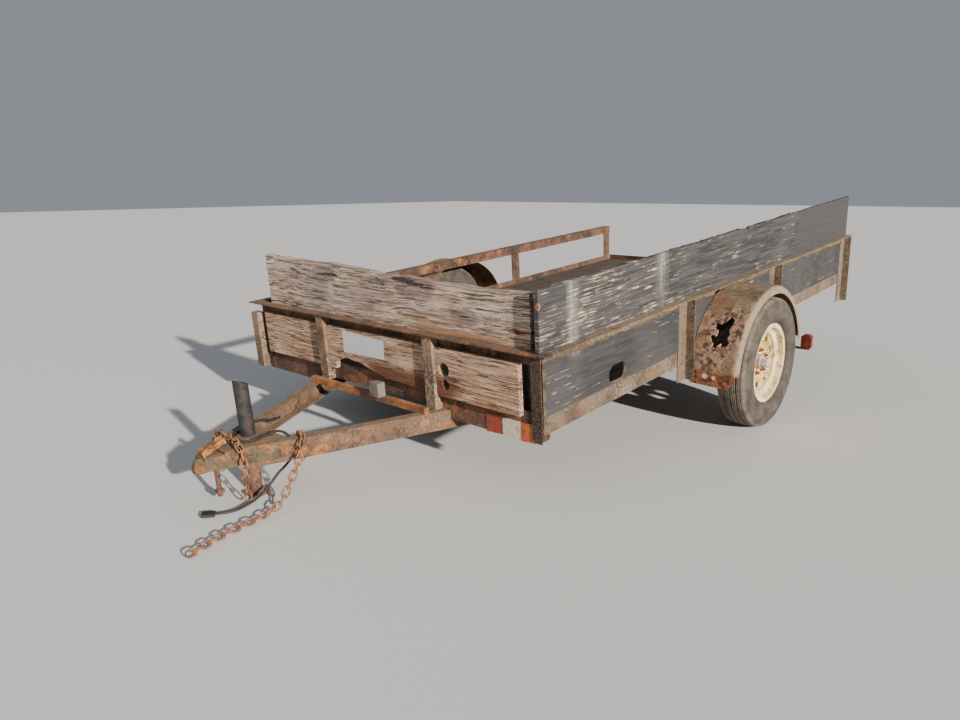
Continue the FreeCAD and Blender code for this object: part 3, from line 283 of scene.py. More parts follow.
def wood(name, along, light=(0.36, 0.29, 0.22), mid=(0.20, 0.155, 0.115),
         stain=(0.21, 0.115, 0.055), stain_share=0.4, cracks=0.85, grey=None, grey_share=0.5):
    """Weathered bare timber with its grain along one axis; returns the paint and a colour."""
    p = Paint(name, roughness=0.92, specular=0.2)
    dark = (0.040, 0.028, 0.022)
    closeness = 2.2

    def spread(across, run):
        out = [across * closeness] * 3
        out[along] = run
        return out

    swirl = p.tree.nodes.new("ShaderNodeVectorMath")
    swirl.operation = "ADD"
    sideways = p.tree.nodes.new("ShaderNodeCombineXYZ")
    push = p.times(p.minus(p.noise(2.6, detail=3), 0.5), 0.05)
    for i in range(3):
        if i != along:
            p.put(push, sideways.inputs[i])
    p.put(p.where, swirl.inputs[0])
    p.put(sideways.outputs[0], swirl.inputs[1])
    bent = swirl.outputs[0]
    lines = p.noise(1.0, spread(27, 2.6), detail=7, rough=0.72, source=bent)
    hairs = p.noise(1.0, spread(96, 4.8), detail=6, rough=0.74, source=bent)
    color = p.mix(p.ramp(lines, 0.36, 0.62), mid, light)
    if grey:
        faded = p.cloud(2.4, 0.62 - grey_share * 0.24, 0.74 - grey_share * 0.20, 0, 0.75, rough=0.6)
        color = p.mix(faded, color, grey)
    stained = p.cloud(3.1, 0.60 - stain_share * 0.25, 0.78 - stain_share * 0.22,
                      detail=6, rough=0.62)
    color = p.mix(p.times(stained, 0.8), color, stain)
    color = p.mix(p.ramp(hairs, 0.42, 0.52, 0.92, 0.0), color, dark)
    color = p.mix(p.ramp(hairs, 0.54, 0.66, 0.0, 0.65), color, light)
    crack = p.ramp(p.noise(0.62, spread(60, 4.0), detail=3, rough=0.5, source=bent),
                   0.29, 0.35, 1, 0)
    color = p.mix(p.times(crack, cracks), color, dark)
    height = p.plus(p.times(lines, 0.6), p.minus(p.times(hairs, 0.9), p.times(crack, 0.8)))
    p.bump(height, 0.005, 0.8)
    return p, color


def plain_wood(name, along, **look):
    p, color = wood(name, along, **look)
    return p.done(color)


def grey_ply(name, bare, rough_grain=1.0, lean=0.0):
    """Dark grey painted plywood; the grain stands bare in long thin broken lines."""
    p = Paint(name, roughness=0.82, specular=0.35)
    base = p.mottle(3.0, 0.3, 0.7, (0.024, 0.024, 0.026), (0.052, 0.050, 0.051))
    soft = p.noise(1.0, (6, 6, 120), detail=5, rough=0.68)
    base = p.mix(p.ramp(soft, 0.42, 0.62, 0, 0.70 * rough_grain), base, (0.092, 0.083, 0.077))
    base = p.mix(p.ramp(soft, 0.30, 0.44, 0.7 * rough_grain, 0.0), base, (0.012, 0.011, 0.012))
    where = p.noise(4.2, (1, 1, 1.4), detail=5, rough=0.6)
    hair = p.noise(1.0, (7.5, 7.5, 170), detail=3, rough=0.55)
    share = p.plus(hair, p.times(p.minus(where, 0.5), 0.62))
    share = p.plus(share, p.ramp(p.x, -0.4, 1.35, -lean, lean))
    worn = p.ramp(share, 0.655 - bare * 0.16, 0.70 - bare * 0.16)
    tan = p.mottle(24, 0.4, 0.65, (0.18, 0.135, 0.095), (0.50, 0.405, 0.30), detail=4)
    p.bump(p.minus(p.times(soft, 0.4), p.times(worn, 0.7)), 0.003, 0.5)
    return p, p.mix(worn, base, tan)


def simple(name, low, high, scale=20, roughness=0.6, metallic=0.0, bump=0.001, dirt=None,
           dirt_share=0.3):
    """A mottled plain finish with patches of dirt."""
    p = Paint(name, roughness=roughness, metallic=metallic, specular=0.4)
    color = p.mottle(scale, 0.3, 0.7, low, high, detail=6, rough=0.6)
    if dirt:
        patches = p.cloud(scale * 0.7, 0.64 - dirt_share * 0.24, 0.72 - dirt_share * 0.2,
                          detail=7, rough=0.7)
        color = p.mix(patches, color, dirt)
    p.bump(p.noise(scale * 6), bump, 0.5)
    return p.done(color)


STEEL = rust("rusty_frame")
STEEL_RED = rust("rusty_red", mid=(0.115, 0.048, 0.028), orange_share=0.66, dust_share=0.2)
STEEL_GREY = rust("rusty_grey", dark=(0.050, 0.034, 0.024), mid=(0.145, 0.096, 0.064),
                  orange_share=0.36, dust=(0.34, 0.25, 0.165), dust_share=0.40,
                  paint=(0.200, 0.155, 0.110), paint_share=0.55)
POST_DARK = rust("corner_post_rust", mid=(0.050, 0.023, 0.016), orange=(0.19, 0.062, 0.027),
                 orange_share=0.42, dust_share=0.07)
UPRIGHT = rust("upright_grey", dark=(0.070, 0.040, 0.025), mid=(0.19, 0.115, 0.070),
               orange=(0.40, 0.165, 0.060), orange_share=0.55, dust_share=0.2,
               paint=(0.29, 0.215, 0.145), paint_share=0.50)
BAR = rust("crossbar_rust", dark=(0.060, 0.022, 0.010), mid=(0.20, 0.075, 0.028),
           orange=(0.46, 0.17, 0.045), orange_share=0.85, dust_share=0.1)
BLOCK = rust("block_grey", dark=(0.05, 0.045, 0.035), mid=(0.15, 0.135, 0.105), orange_share=0.1,
             dust_share=0.3, paint=(0.22, 0.20, 0.165), paint_share=0.6, scale=14)
CHAIN = rust("chain_rust", dark=(0.09, 0.032, 0.014), mid=(0.28, 0.10, 0.034),
             orange=(0.50, 0.20, 0.065), orange_share=0.75, dust_share=0.2, scale=24)
TONGUE = rust("tongue_rust", dark=(0.036, 0.020, 0.013), mid=(0.115, 0.064, 0.040),
              orange=(0.34, 0.135, 0.048), orange_share=0.60, dust=(0.30, 0.215, 0.135),
              dust_share=0.45, paint=(0.165, 0.118, 0.080), paint_share=0.40)
COUPLER = rust("coupler_rust", dark=(0.036, 0.024, 0.015), mid=(0.115, 0.066, 0.036),
               orange=(0.36, 0.125, 0.040), orange_share=0.62, dust=(0.25, 0.215, 0.12),
               dust_share=0.5, paint=(0.090, 0.072, 0.048), paint_share=0.42, scale=12, fleck=6)
FRAME_DARK = rust("frame_dark", dark=(0.016, 0.010, 0.008), mid=(0.070, 0.037, 0.025),
                  orange_share=0.42, dust_share=0.2)
FENDER_FAR = rust("far_fender_rust", dark=(0.045, 0.024, 0.014), mid=(0.17, 0.085, 0.045),
                  orange=(0.42, 0.165, 0.055), orange_share=0.75, dust=(0.36, 0.27, 0.17),
                  dust_share=0.3, scale=9)
JACK_RUST = rust("jack_rust", dark=(0.05, 0.022, 0.012), mid=(0.15, 0.065, 0.035),
                 orange_share=0.6, paint=(0.20, 0.17, 0.13), paint_share=0.25, scale=16)

# Near fender: faded paint, pink-brown rust round the hole, orange foot
p = Paint("fender_rust", roughness=0.8)
cloud = p.noise(6, detail=6, rough=0.65)
speck = p.noise(70, detail=5, rough=0.7)
color = p.mix(p.ramp(cloud, 0.34, 0.62), (0.090, 0.070, 0.045), (0.30, 0.225, 0.140))
color = p.mix(p.ramp(speck, 0.40, 0.60, 0.6, 0.0), color, (0.050, 0.036, 0.026))
near_hole = p.blobs([(0.27, 0.985, 0.50, 0.13), (0.34, 0.97, 0.42, 0.10), (0.36, 0.93, 0.36, 0.08)],
                    ragged=0.9, size=22)
pink = p.mottle(38, 0.42, 0.57, (0.045, 0.022, 0.016), (0.42, 0.250, 0.175), detail=6, rough=0.7)
color = p.mix(p.times(near_hole, 0.75), color, pink)
flank = p.times(p.cloud(13, 0.50, 0.58, detail=7, rough=0.7), 0.75)
color = p.mix(flank, color, (0.22, 0.110, 0.058))
# Painted highlight: a paler tan band along the rolled outer lip, where the bend catches the light.
lip_painted_highlight = p.times(p.ramp(p.y, 1.080, 1.090), p.cloud(30, 0.30, 0.55, 0.35, 1.0))
color = p.mix(lip_painted_highlight, color, (0.27, 0.205, 0.135))
foot = p.times(p.ramp(p.z, 0.335, 0.350, 1, 0), p.ramp(p.x, 0.30, 0.34))
foot_rust = p.mottle(46, 0.40, 0.60, (0.085, 0.034, 0.018), (0.30, 0.125, 0.052),
                     detail=6, rough=0.7)
color = p.mix(foot, color, foot_rust)
chips = p.blobs([(0.372, 0.955, 0.320, 0.014), (0.372, 0.995, 0.316, 0.010)], ragged=0.5, size=60)
color = p.mix(chips, color, (0.62, 0.50, 0.40))
p.bump(p.plus(p.times(speck, 0.6), p.times(cloud, 0.8)), 0.004, 0.6)
FENDER = p.done(color)

FRONT_FACE = 1.42


def at_front(*spots):
    """Puts spots (y, z, radius) on the face of the front boards."""
    return [(FRONT_FACE, *spot) for spot in spots]


p, color = wood("upper_front_wood", ALONG_Y, light=(0.68, 0.535, 0.425), mid=(0.29, 0.205, 0.155),
                stain=(0.34, 0.195, 0.115), stain_share=0.22, grey=(0.275, 0.228, 0.222),
                grey_share=0.38)
low_edge = p.times(p.ramp(p.z, 0.66, 0.76, 1, 0), p.span(p.y, -0.10, 0.72, 0.16))
low_edge = p.times(low_edge, p.cloud(7, 0.36, 0.60, detail=6, stretch=(1, 0.5, 2)))
color = p.mix(low_edge, color, (0.36, 0.190, 0.085))
halo = p.blobs(at_front((-0.330, 0.843, 0.070), (0.515, 0.752, 0.060), (0.26, 0.850, 0.11)),
               stretch=(0.3, 0.8, 1.7), ragged=1.3, size=14)
color = p.mix(p.times(halo, 0.5), color, (0.130, 0.092, 0.090))
knots = p.blobs(at_front((-0.345, 0.843, 0.016), (-0.27, 0.847, 0.026), (0.515, 0.752, 0.016),
                         (0.20, 0.862, 0.030), (0.27, 0.851, 0.026), (0.33, 0.842, 0.020)),
                stretch=(0.3, 0.42, 3.4), ragged=1.5, size=46)
color = p.mix(p.times(knots, 0.9), color, (0.040, 0.028, 0.032))
red_crack = p.blobs(at_front((0.76, 0.727, 0.032), (0.80, 0.730, 0.028)),
                    stretch=(0.3, 0.7, 3.4), ragged=0.7, size=40)
red_crack = p.times(red_crack, p.cloud(70, 0.40, 0.55, stretch=(1, 0.3, 2)))
color = p.mix(red_crack, color, (0.14, 0.042, 0.022))
FRONT_WOOD = p.done(color)

p, color = wood("lower_front_wood", ALONG_Y, light=(0.60, 0.415, 0.285), mid=(0.33, 0.195, 0.125),
                stain=(0.33, 0.15, 0.07), stain_share=0.38, cracks=0.8)
wet = p.blobs(at_front((0.235, 0.50, 0.30)), stretch=(0.2, 1.0, 2.6), ragged=0.35, size=9)
color = p.mix(p.times(wet, p.ramp(p.z, 0.47, 0.53, 0.9, 0.0)), color, (0.12, 0.045, 0.025))
rot = p.blobs(at_front((0.455, 0.495, 0.045), (0.40, 0.485, 0.035), (0.78, 0.545, 0.045),
                       (0.74, 0.525, 0.03)), stretch=(0.3, 0.8, 1.8), ragged=0.9, size=30)
rot = p.times(rot, p.cloud(60, 0.40, 0.60, 0.0, 0.85, stretch=(1, 0.3, 1.5)))
LOW_WOOD = p.done(p.mix(rot, color, (0.090, 0.034, 0.022)))
# Floor planks: weathered wood grain, with all colours darkened as painted shade for the side
# board's shadow across the bed floor.
FLOOR_WOOD_PAINTED_SHADE = plain_wood("floor_wood_painted_shade", ALONG_X, light=(0.13, 0.105, 0.085),
                        mid=(0.065, 0.052, 0.043), stain=(0.10, 0.055, 0.03), stain_share=0.25)
CLEAT_WOOD = plain_wood("cleat_wood", ALONG_Z, light=(0.33, 0.27, 0.21), mid=(0.19, 0.15, 0.115))

# Upper side board: two pale streaks, a plain stretch at the rear and a rusty eye in front
p, color = grey_ply("upper_side_paint", bare=0.38, lean=0.060)
rear_streak = p.times(p.span(p.x, 0.595, 0.640, 0.045), p.ramp(p.z, 0.68, 0.84, 0.35, 1.0))
streaks = p.plus(p.span(p.x, 1.215, 1.250, 0.030), rear_streak, clamp=True)
fade = p.times(p.cloud(1.0, 0.30, 0.62, 0.12, 0.85, stretch=(40, 40, 3)),
               p.cloud(90, 0.30, 0.60, 0.6, 1.0, detail=3))
color = p.mix(p.times(streaks, fade), color, (0.36, 0.35, 0.325))
plain = p.span(p.x, -1.75, -0.86, 0.012)
color = p.mix(p.times(plain, 0.85), color, (0.050, 0.048, 0.051))
for radius, tone in ((0.014, (0.33, 0.14, 0.055)), (0.006, (0.08, 0.05, 0.035))):
    color = p.mix(p.blobs([(1.425, 0.88, 0.831, radius)], ragged=0.2, size=60), color, tone)
UPPER_SIDE = p.done(color, 0.8)

p, color = grey_ply("lower_side_paint", bare=-0.12, rough_grain=0.45)
bare_edge = p.ramp(p.math("ABSOLUTE", p.normal()[1]), 0.45, 0.6, 1, 0)
edge_tone = p.mottle(30, 0.35, 0.65, (0.15, 0.105, 0.065), (0.34, 0.26, 0.165))
color = p.mix(bare_edge, color, edge_tone)
milk = p.times(p.span(p.x, 1.20, 1.265, 0.02), p.ramp(p.z, 0.60, 0.665))
milk = p.times(milk, p.cloud(60, 0.3, 0.6, 0.2, 0.7, detail=4))
LOWER_SIDE = p.done(p.mix(milk, color, (0.34, 0.33, 0.31)), 0.7)

ZINC = simple("galvanised", (0.012, 0.012, 0.0115), (0.040, 0.039, 0.036), scale=34,
              roughness=0.66, metallic=0.1, dirt=(0.060, 0.030, 0.018), dirt_share=0.45)
CABLE = simple("cable_jacket", (0.012, 0.012, 0.012), (0.03, 0.028, 0.026), scale=40)
LATCH = simple("latch_paint", (0.34, 0.115, 0.030), (0.60, 0.27, 0.055), scale=34,
               roughness=0.65, dirt=(0.13, 0.045, 0.02), dirt_share=0.75)
LAMP = simple("lamp_red", (0.10, 0.012, 0.009), (0.22, 0.028, 0.018), scale=30,
              roughness=0.45, dirt=(0.13, 0.075, 0.05), dirt_share=0.45)
TAPE_WHITE = simple("tape_white", (0.46, 0.42, 0.34), (0.62, 0.57, 0.48), scale=60,
                    roughness=0.5, dirt=(0.30, 0.20, 0.12), dirt_share=0.45)
TAPE_RED = simple("tape_red", (0.20, 0.030, 0.015), (0.34, 0.060, 0.025), scale=60,
                  roughness=0.5, dirt=(0.14, 0.055, 0.03), dirt_share=0.45)
TAPE_ORANGE = simple("tape_orange", (0.34, 0.060, 0.018), (0.56, 0.13, 0.035), scale=60,
                     roughness=0.5, dirt=(0.18, 0.06, 0.03), dirt_share=0.4)
LABEL = simple("label", (0.53, 0.54, 0.56), (0.60, 0.61, 0.62), scale=8, roughness=0.5,
               bump=0.0003)

# Tyre: dusty, with a paler tread
p = Paint("tyre_rubber", roughness=0.88, specular=0.25)
dusty = p.cloud(14, 0.30, 0.66, detail=6, rough=0.65)
side_tone = p.mix(dusty, (0.040, 0.034, 0.028), (0.115, 0.096, 0.077))
tread_tone = p.mix(dusty, (0.115, 0.092, 0.072), (0.26, 0.215, 0.17))
color = p.mix(p.ramp(p.from_axle(), 0.284, 0.300), side_tone, tread_tone)
worn = p.cloud(120, 0.42, 0.60, 0.45, 0.0, detail=4, rough=0.7)
color = p.mix(worn, color, (0.040, 0.035, 0.030))
p.bump(p.noise(160, detail=3), 0.0008, 0.5)
TYRE = p.done(color)

# Wheel: cream paint, rusty yellow disc
p = Paint("wheel_paint", roughness=0.55, specular=0.4)
radius = p.from_axle()
chalk = p.mottle(12, 0.3, 0.7, (0.64, 0.50, 0.24), (0.88, 0.78, 0.54), detail=6)
stain = p.cloud(22, 0.50, 0.62, detail=7, rough=0.72)
vents = p.times(p.span(radius, 0.088, 0.110), p.cloud(18, 0.42, 0.58))
stain = p.plus(stain, vents, clamp=True)
disc = p.times(p.span(radius, 0.052, 0.128), p.cloud(30, 0.28, 0.55, 0.45, 1.0))
chalk = p.mix(disc, chalk, (0.66, 0.42, 0.12))
brown = p.mottle(50, 0.40, 0.60, (0.26, 0.11, 0.030), (0.66, 0.43, 0.14))
color = p.mix(p.times(stain, 0.85), chalk, brown)
p.bump(p.noise(120, detail=3), 0.0008, 0.5)
WHEEL = p.done(color)

p = Paint("hub_paint", roughness=0.6, specular=0.4)
cap = p.mottle(60, 0.35, 0.65, (0.26, 0.25, 0.23), (0.55, 0.54, 0.50), detail=4)
nuts = p.mottle(70, 0.40, 0.62, (0.11, 0.045, 0.022), (0.36, 0.17, 0.065))
color = p.mix(p.ramp(p.from_axle(), 0.031, 0.035), cap, nuts)
p.bump(p.noise(160, detail=3), 0.0008, 0.5)
HUB = p.done(color)

# Pieces


def add(name, mesh, mat, body="trailer", stands_for=(), smooth=None, level=True):
    """Adds one piece; a mesh made in the level frame is tilted into the row frame."""
    if level:
        mesh.transform(LEVEL)
    mesh.materials.append(mat)
    made = bpy.data.objects.new(name, mesh)
    bpy.context.collection.objects.link(made)
    if smooth is not None:
        mesh.shade_smooth()
        if smooth < 180:
            mesh.set_sharp_from_angle(angle=math.radians(smooth))
    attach(made, body)
    if stands_for:
        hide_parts(*stands_for)
    return made


def mesh_of(verts, faces):
    mesh = bpy.data.meshes.new("mesh")
    mesh.from_pydata([tuple(v) for v in verts], [], faces)
    mesh.update()
    return mesh


def lattice(low, high, cells, shape=None):
    """The skin of a box cut into cells; shape moves each point of it."""
    verts, faces, seen = [], [], {}

    def point(key):
        if key not in seen:
            share = Vector(i / n for i, n in zip(key, cells))
            at = Vector(low[a] + (high[a] - low[a]) * share[a] for a in range(3))
            seen[key] = len(verts)
            verts.append(shape(at, share) if shape else at)
        return seen[key]

    for axis in range(3):
        a, b = (axis + 1) % 3, (axis + 2) % 3
        for end in (0, cells[axis]):
            for i in range(cells[a]):
                for j in range(cells[b]):
                    corners = []
                    for di, dj in ((0, 0), (1, 0), (1, 1), (0, 1)):
                        at = [0, 0, 0]
                        at[axis], at[a], at[b] = end, i + di, j + dj
                        corners.append(point(tuple(at)))
                    faces.append(corners if end else corners[::-1])
    return mesh_of(verts, faces)


def rough(at, scale, amount, seed):
    """Smooth unevenness of up to about amount."""
    return noise.noise(Vector(at) * scale + Vector((seed, seed, seed))) * amount


def steel(name, mat, bevel=0.0012):
    """A CAD node that keeps its shape, with softened edges and its own finish."""
    obj = node[name]
    obj.data.materials.clear()
    obj.data.materials.append(mat)
    made = obj.modifiers.new("soft_edges", "BEVEL")
    made.width = bevel
    made.segments = 2
    made.limit_method = "ANGLE"
    made.angle_limit = math.radians(40)


for mat, names in (
    (STEEL, ("bottom_rail_right", "bottom_rail_rear", "side_posts_right")),
    (STEEL_GREY, ("bottom_rail_left", "top_rail_left", "side_posts_left")),
    (STEEL_RED, ("bottom_rail_front", "top_rail_right", "top_rail_front", "coupler_clamp",
                 "lamp_arms")),
    (FRAME_DARK, ("crossmembers", "axle", "spring_left", "spring_right", "spring_mounts_left",
                  "spring_mounts_right")),
    (POST_DARK, ("corner_posts",)), (UPRIGHT, ("front_uprights",)),
    (TONGUE, ("tongue_rail_left", "tongue_rail_right")),
    (BAR, ("tongue_crossbar",)), (BLOCK, ("bar_block",)),
    (COUPLER, ("coupler",)), (LATCH, ("coupler_latch",)),
    (ZINC, ("jack_housing",)), (JACK_RUST, ("jack_collar", "jack_leg", "jack_foot")),
    (LAMP, ("tail_lamps",)), (CABLE, ("cable_plug",)),
    (FLOOR_WOOD_PAINTED_SHADE, ("floor_planks",)), (CLEAT_WOOD, ("board_cleats",)),
    (LOWER_SIDE, ("side_panels",)), (LOW_WOOD, ("front_boards",)),
    (HUB, ("hub_left", "hub_right")),
):
    for name in names:
        steel(name, mat)

# Upper boards: wavy, split timber in front, flaking plywood along the left side

FRONT_LOW = 0.6705
FRONT_TOP = [(-0.80, 0.902), (-0.74, 0.900), (-0.555, 0.893), (-0.286, 0.892), (-0.143, 0.885),
             (-0.027, 0.881), (0.065, 0.871), (0.137, 0.870), (0.207, 0.876), (0.305, 0.869),
             (0.431, 0.864), (0.578, 0.862), (0.722, 0.862), (0.85, 0.866)]


def edge_height(y):
    """Height of the front timber's top edge, eased between the points of FRONT_TOP."""
    for (y0, z0), (y1, z1) in zip(FRONT_TOP, FRONT_TOP[1:]):
        if y <= y1:
            t = max(0.0, (y - y0) / (y1 - y0))
            return z0 + (z1 - z0) * t * t * (3 - 2 * t)
    return FRONT_TOP[-1][1]


def front_shape(at, share):
    out = Vector(at)
    out.y += 0.024 - 0.004 * share.y
    top = edge_height(out.y) + rough((at.y, 0, 0), 13, 0.003, 9.4)
    split = rough((at.y * 3, at.x * 60, at.z * 8), 1.0, 0.0015, 5.0)
    out.z = FRONT_LOW + (top - FRONT_LOW) * share.z + split
    if share.x > 0.99:
        out.x += rough((at.x * 2, at.y * 2, at.z * 60), 1.0, 0.0022, 1.7) - 0.001
    if abs(share.y - 0.5) > 0.495:
        out.y += rough((at.z * 40, at.x * 40, at.y), 1.0, 0.003, 4.0)
    return out


def level_box(name):
    """The box of a CAD node in the level frame."""
    back = LEVEL.inverted()
    points = [back @ v.co for v in node[name].data.vertices]
    return [Vector(pick(q[i] for q in points) for i in range(3)) for pick in (min, max)]


front_board = lattice(*level_box("upper_board_front"), (4, 260, 60), front_shape)
add("upper_board_front_wood", front_board, FRONT_WOOD, stands_for=["upper_board_front"], smooth=50)

side_low, side_high = level_box("upper_board_side")


def side_shape(at, share):
    along = at.x
    top = 0.887 + (1.435 - along) * 0.0077
    for where, deep, wide in ((-0.20, 0.016, 0.012), (-0.16, 0.007, 0.02)):
        top -= deep * math.exp(-((along - where) / wide) ** 2)
    ragged = rough((along, 0, 0), 30, 0.0035, 2.0) + rough((along, 0, 0), 5, 0.004, 8.0)
    out = Vector(at)
    top = min(top + ragged - 0.003, side_high.z)
    out.z = side_low.z + (top - side_low.z) * share.z
    if share.y > 0.99:
        out.y += rough((along * 1.5, 0, at.z * 70), 1.0, 0.0012, 6.0) - 0.0006
    out.x -= 0.016 * max(0.0, (along - 1.30) / 0.14)
    return out


side_board = lattice(side_low, side_high, (520, 3, 50), side_shape)
add("upper_board_side_ply", side_board, UPPER_SIDE, stands_for=["upper_board_side"], smooth=50)

# Fenders: rolled sheet, a finer mesh with dents and the rusted-through hole.
# The numbers by side have the key 1 for left and -1 for right.

FENDER_AT = {1: (-0.008, 0.278), -1: (-0.008, 0.269)}
FENDER_INNER = {1: 0.883, -1: 0.870}
FENDER_MAT = {1: FENDER, -1: FENDER_FAR}
FENDER_RAD = 0.382
SHOULDER, BEND = 1.073, 0.020
FOOT_ANGLE, SWEEP, SWEEP_STEPS = 8, 162, 270
SHEET = 0.0026
# Outline of the hole as (angle in degrees, y)
HOLE = [(48.6, 1.012), (46.6, 1.031), (41.0, 1.026), (38.8, 1.020), (36.6, 1.032), (33.1, 1.025),
        (29.2, 1.037), (27.4, 1.025), (26.5, 0.986), (23.4, 0.977), (24.7, 0.966), (27.7, 0.971),
        (30.0, 0.958), (33.0, 0.949), (34.4, 0.980), (38.0, 0.968), (41.5, 0.955), (43.0, 0.985),
        (44.9, 0.999)]


def inside(x, y, ring):
    hit = False
    for (x1, y1), (x2, y2) in zip(ring, ring[1:] + ring[:1]):
        if (y1 > y) != (y2 > y) and x < (x2 - x1) * (y - y1) / (y2 - y1) + x1:
            hit = not hit
    return hit


def fender_mesh(sign):
    inner = FENDER_INNER[sign]
    profile = [(inner + (SHOULDER - inner) * i / 44, FENDER_RAD) for i in range(45)]
    for i in range(1, 9):
        a = math.radians(i * 90 / 8)
        profile.append((SHOULDER + BEND * math.sin(a), FENDER_RAD - BEND + BEND * math.cos(a)))
    profile += [(SHOULDER + BEND, FENDER_RAD - BEND - 0.0035 * i) for i in range(1, 5)]
    angles = [FOOT_ANGLE + SWEEP * i / SWEEP_STEPS for i in range(SWEEP_STEPS + 1)]
    verts, faces = [], []
    for angle in angles:
        a = math.radians(angle)
        for y, r in profile:
            dent = rough((angle * 0.05, y * 8, 0), 1.0, 0.0022, 3.3 + sign) - 0.001
            r -= abs(dent) + 0.0004
            verts.append((FENDER_AT[sign][0] + r * math.cos(a), sign * y,
                          FENDER_AT[sign][1] + r * math.sin(a)))
    width = len(profile)
    for i in range(SWEEP_STEPS):
        for j in range(width - 1):
            angle = (angles[i] + angles[i + 1]) / 2
            y = (profile[j][0] + profile[j + 1][0]) / 2
            wob = rough((angle * 0.35, y * 60, 0), 1.0, 1.0, 7.7)
            if sign > 0 and inside(angle + wob * 1.2, y + wob * 0.004, HOLE):
                continue
            k = i * width + j
            quad = [k, k + 1, k + width + 1, k + width]
            faces.append(quad if sign < 0 else quad[::-1])
    return mesh_of(verts, faces)


def thicken(obj, amount, offset):
    made = obj.modifiers.new("sheet", "SOLIDIFY")
    made.thickness = amount
    made.offset = offset


for side, sign in (("left", 1), ("right", -1)):
    made = add("fender_%s_sheet" % side, fender_mesh(sign), FENDER_MAT[sign],
               stands_for=["fender_" + side], smooth=60)
    thicken(made, SHEET, -1)
    a = math.radians(FOOT_ANGLE)
    x = FENDER_AT[sign][0] + FENDER_RAD * math.cos(a) - 0.0015
    base = FENDER_AT[sign][1]
    top = base + FENDER_RAD * math.sin(a)
    inner = FENDER_INNER[sign]
    ring = [(x, inner, top), (x - 0.002, inner, base), (x - 0.002, 1.058, base - 0.006),
            (x - 0.001, 1.075, base + 0.016), (x - 0.001, 1.091, top)]
    plate = mesh_of([(x, sign * y, z) for x, y, z in ring], [[0, 1, 2, 3, 4][::sign]])
    made = add("fender_%s_front_plate" % side, plate, FENDER_MAT[sign])
    thicken(made, SHEET, 0)

# Tyres: ribbed tread


def lathe(points, segments, at, sign):
    """Turns (y outward, radius) points about the wheel's axle."""
    verts, faces = [], []
    n = len(points)
    for i in range(segments):
        a = 2 * math.pi * i / segments
        for y, r in points:
            verts.append((at[0] + r * math.cos(a), at[1] + sign * y, at[2] + r * math.sin(a)))
    for i in range(segments):
        k = (i + 1) % segments
        for j in range(n - 1):
            quad = [i * n + j, i * n + j + 1, k * n + j + 1, k * n + j]
            faces.append(quad if sign > 0 else quad[::-1])
    return mesh_of(verts, faces)


def smooth_line(points, steps):
    """Catmull-Rom through (y, radius) points."""
    out = []
    last = len(points) - 1
    for i in range(last):
        p0, p1, p2, p3 = (Vector(points[max(0, min(last, i + k))]) for k in (-1, 0, 1, 2))
        for s in range(steps):
            t = s / steps
            out.append(0.5 * (2 * p1 + (p2 - p0) * t + (2 * p0 - 5 * p1 + 4 * p2 - p3) * t * t
                              + (3 * p1 - p0 - 3 * p2 + p3) * t ** 3))
    out.append(Vector(points[-1]))
    return [tuple(v) for v in out]


WHEEL_Y = 1.039
GROOVES = (0.046, 0.036, 0.028, 0.018, 0.009, 0.0, -0.009, -0.018, -0.028, -0.036, -0.046)
WIDE_GROOVES = (0.028, 0.0)
GROOVE_SLOPE = 0.0008

side_wall = smooth_line([(0.0497, 0.171), (0.0500, 0.184), (0.055, 0.192), (0.065, 0.200),
                         (0.0725, 0.218), (0.0748, 0.242), (0.073, 0.262), (0.068, 0.281),
                         (0.060, 0.295), (0.052, 0.3005)], 4)
tread = []
for groove in GROOVES:
    crown = 0.3045 - 0.0045 * (groove / 0.054) ** 2
    width, depth = (0.0032, 0.0075) if abs(groove) in WIDE_GROOVES else (0.0010, 0.0030)
    tread += [(groove + width + GROOVE_SLOPE, crown), (groove + width, crown - depth),
              (groove - width, crown - depth), (groove - width - GROOVE_SLOPE, crown)]
outline = side_wall + tread + [(-y, r) for y, r in reversed(side_wall)]
for side, sign in (("left", 1), ("right", -1)):
    add("tyre_%s_ribbed" % side, lathe(outline, 120, (0, sign * WHEEL_Y, TYRE_RAD), sign), TYRE,
        body="wheel_" + side, stands_for=["tyre_" + side], smooth=45)
    steel("rim_" + side, WHEEL, 0.0008)

# Chains: round links laid along the same lines as the solids

LINK_LONG, LINK_WIDE, LINK_WIRE = 0.0405, 0.0230, 0.0058


def link_ring(length, width, wire, around=26, section=8):
    """A stadium-shaped ring of round wire in the XY plane, long in X."""
    straight = length - width
    r = width / 2
    bend = math.pi * r
    total = 2 * (straight + bend)
    verts, faces = [], []
    for i in range(around):
        half, s = divmod(total * i / around, straight + bend)
        if s < straight:
            mid, out = Vector((s - straight / 2, -r, 0)), Vector((0, -1, 0))
        else:
            a = (s - straight) / r - math.pi / 2
            out = Vector((math.cos(a), math.sin(a), 0))
            mid = Vector((straight / 2, 0, 0)) + out * r
        if half:
            mid, out = -mid, -out
        for j in range(section):
            b = 2 * math.pi * j / section
            side = out * math.cos(b) + Vector((0, 0, 1)) * math.sin(b)
            verts.append(mid + side * wire / 2)
    for i in range(around):
        here, there = i * section, (i + 1) % around * section
        for j in range(section):
            k = (j + 1) % section
            faces.append([here + j, there + j, there + k, here + k])
    return verts, faces


def islands(bm):
    """The joined groups of a mesh's points, in the order of the mesh."""
    seen = set()
    for first in bm.verts:
        if first in seen:
            continue
        seen.add(first)
        group = [first]
        for vert in group:
            for edge in vert.link_edges:
                other = edge.other_vert(vert)
                if other not in seen:
                    seen.add(other)
                    group.append(other)
        yield [v.co.copy() for v in group]


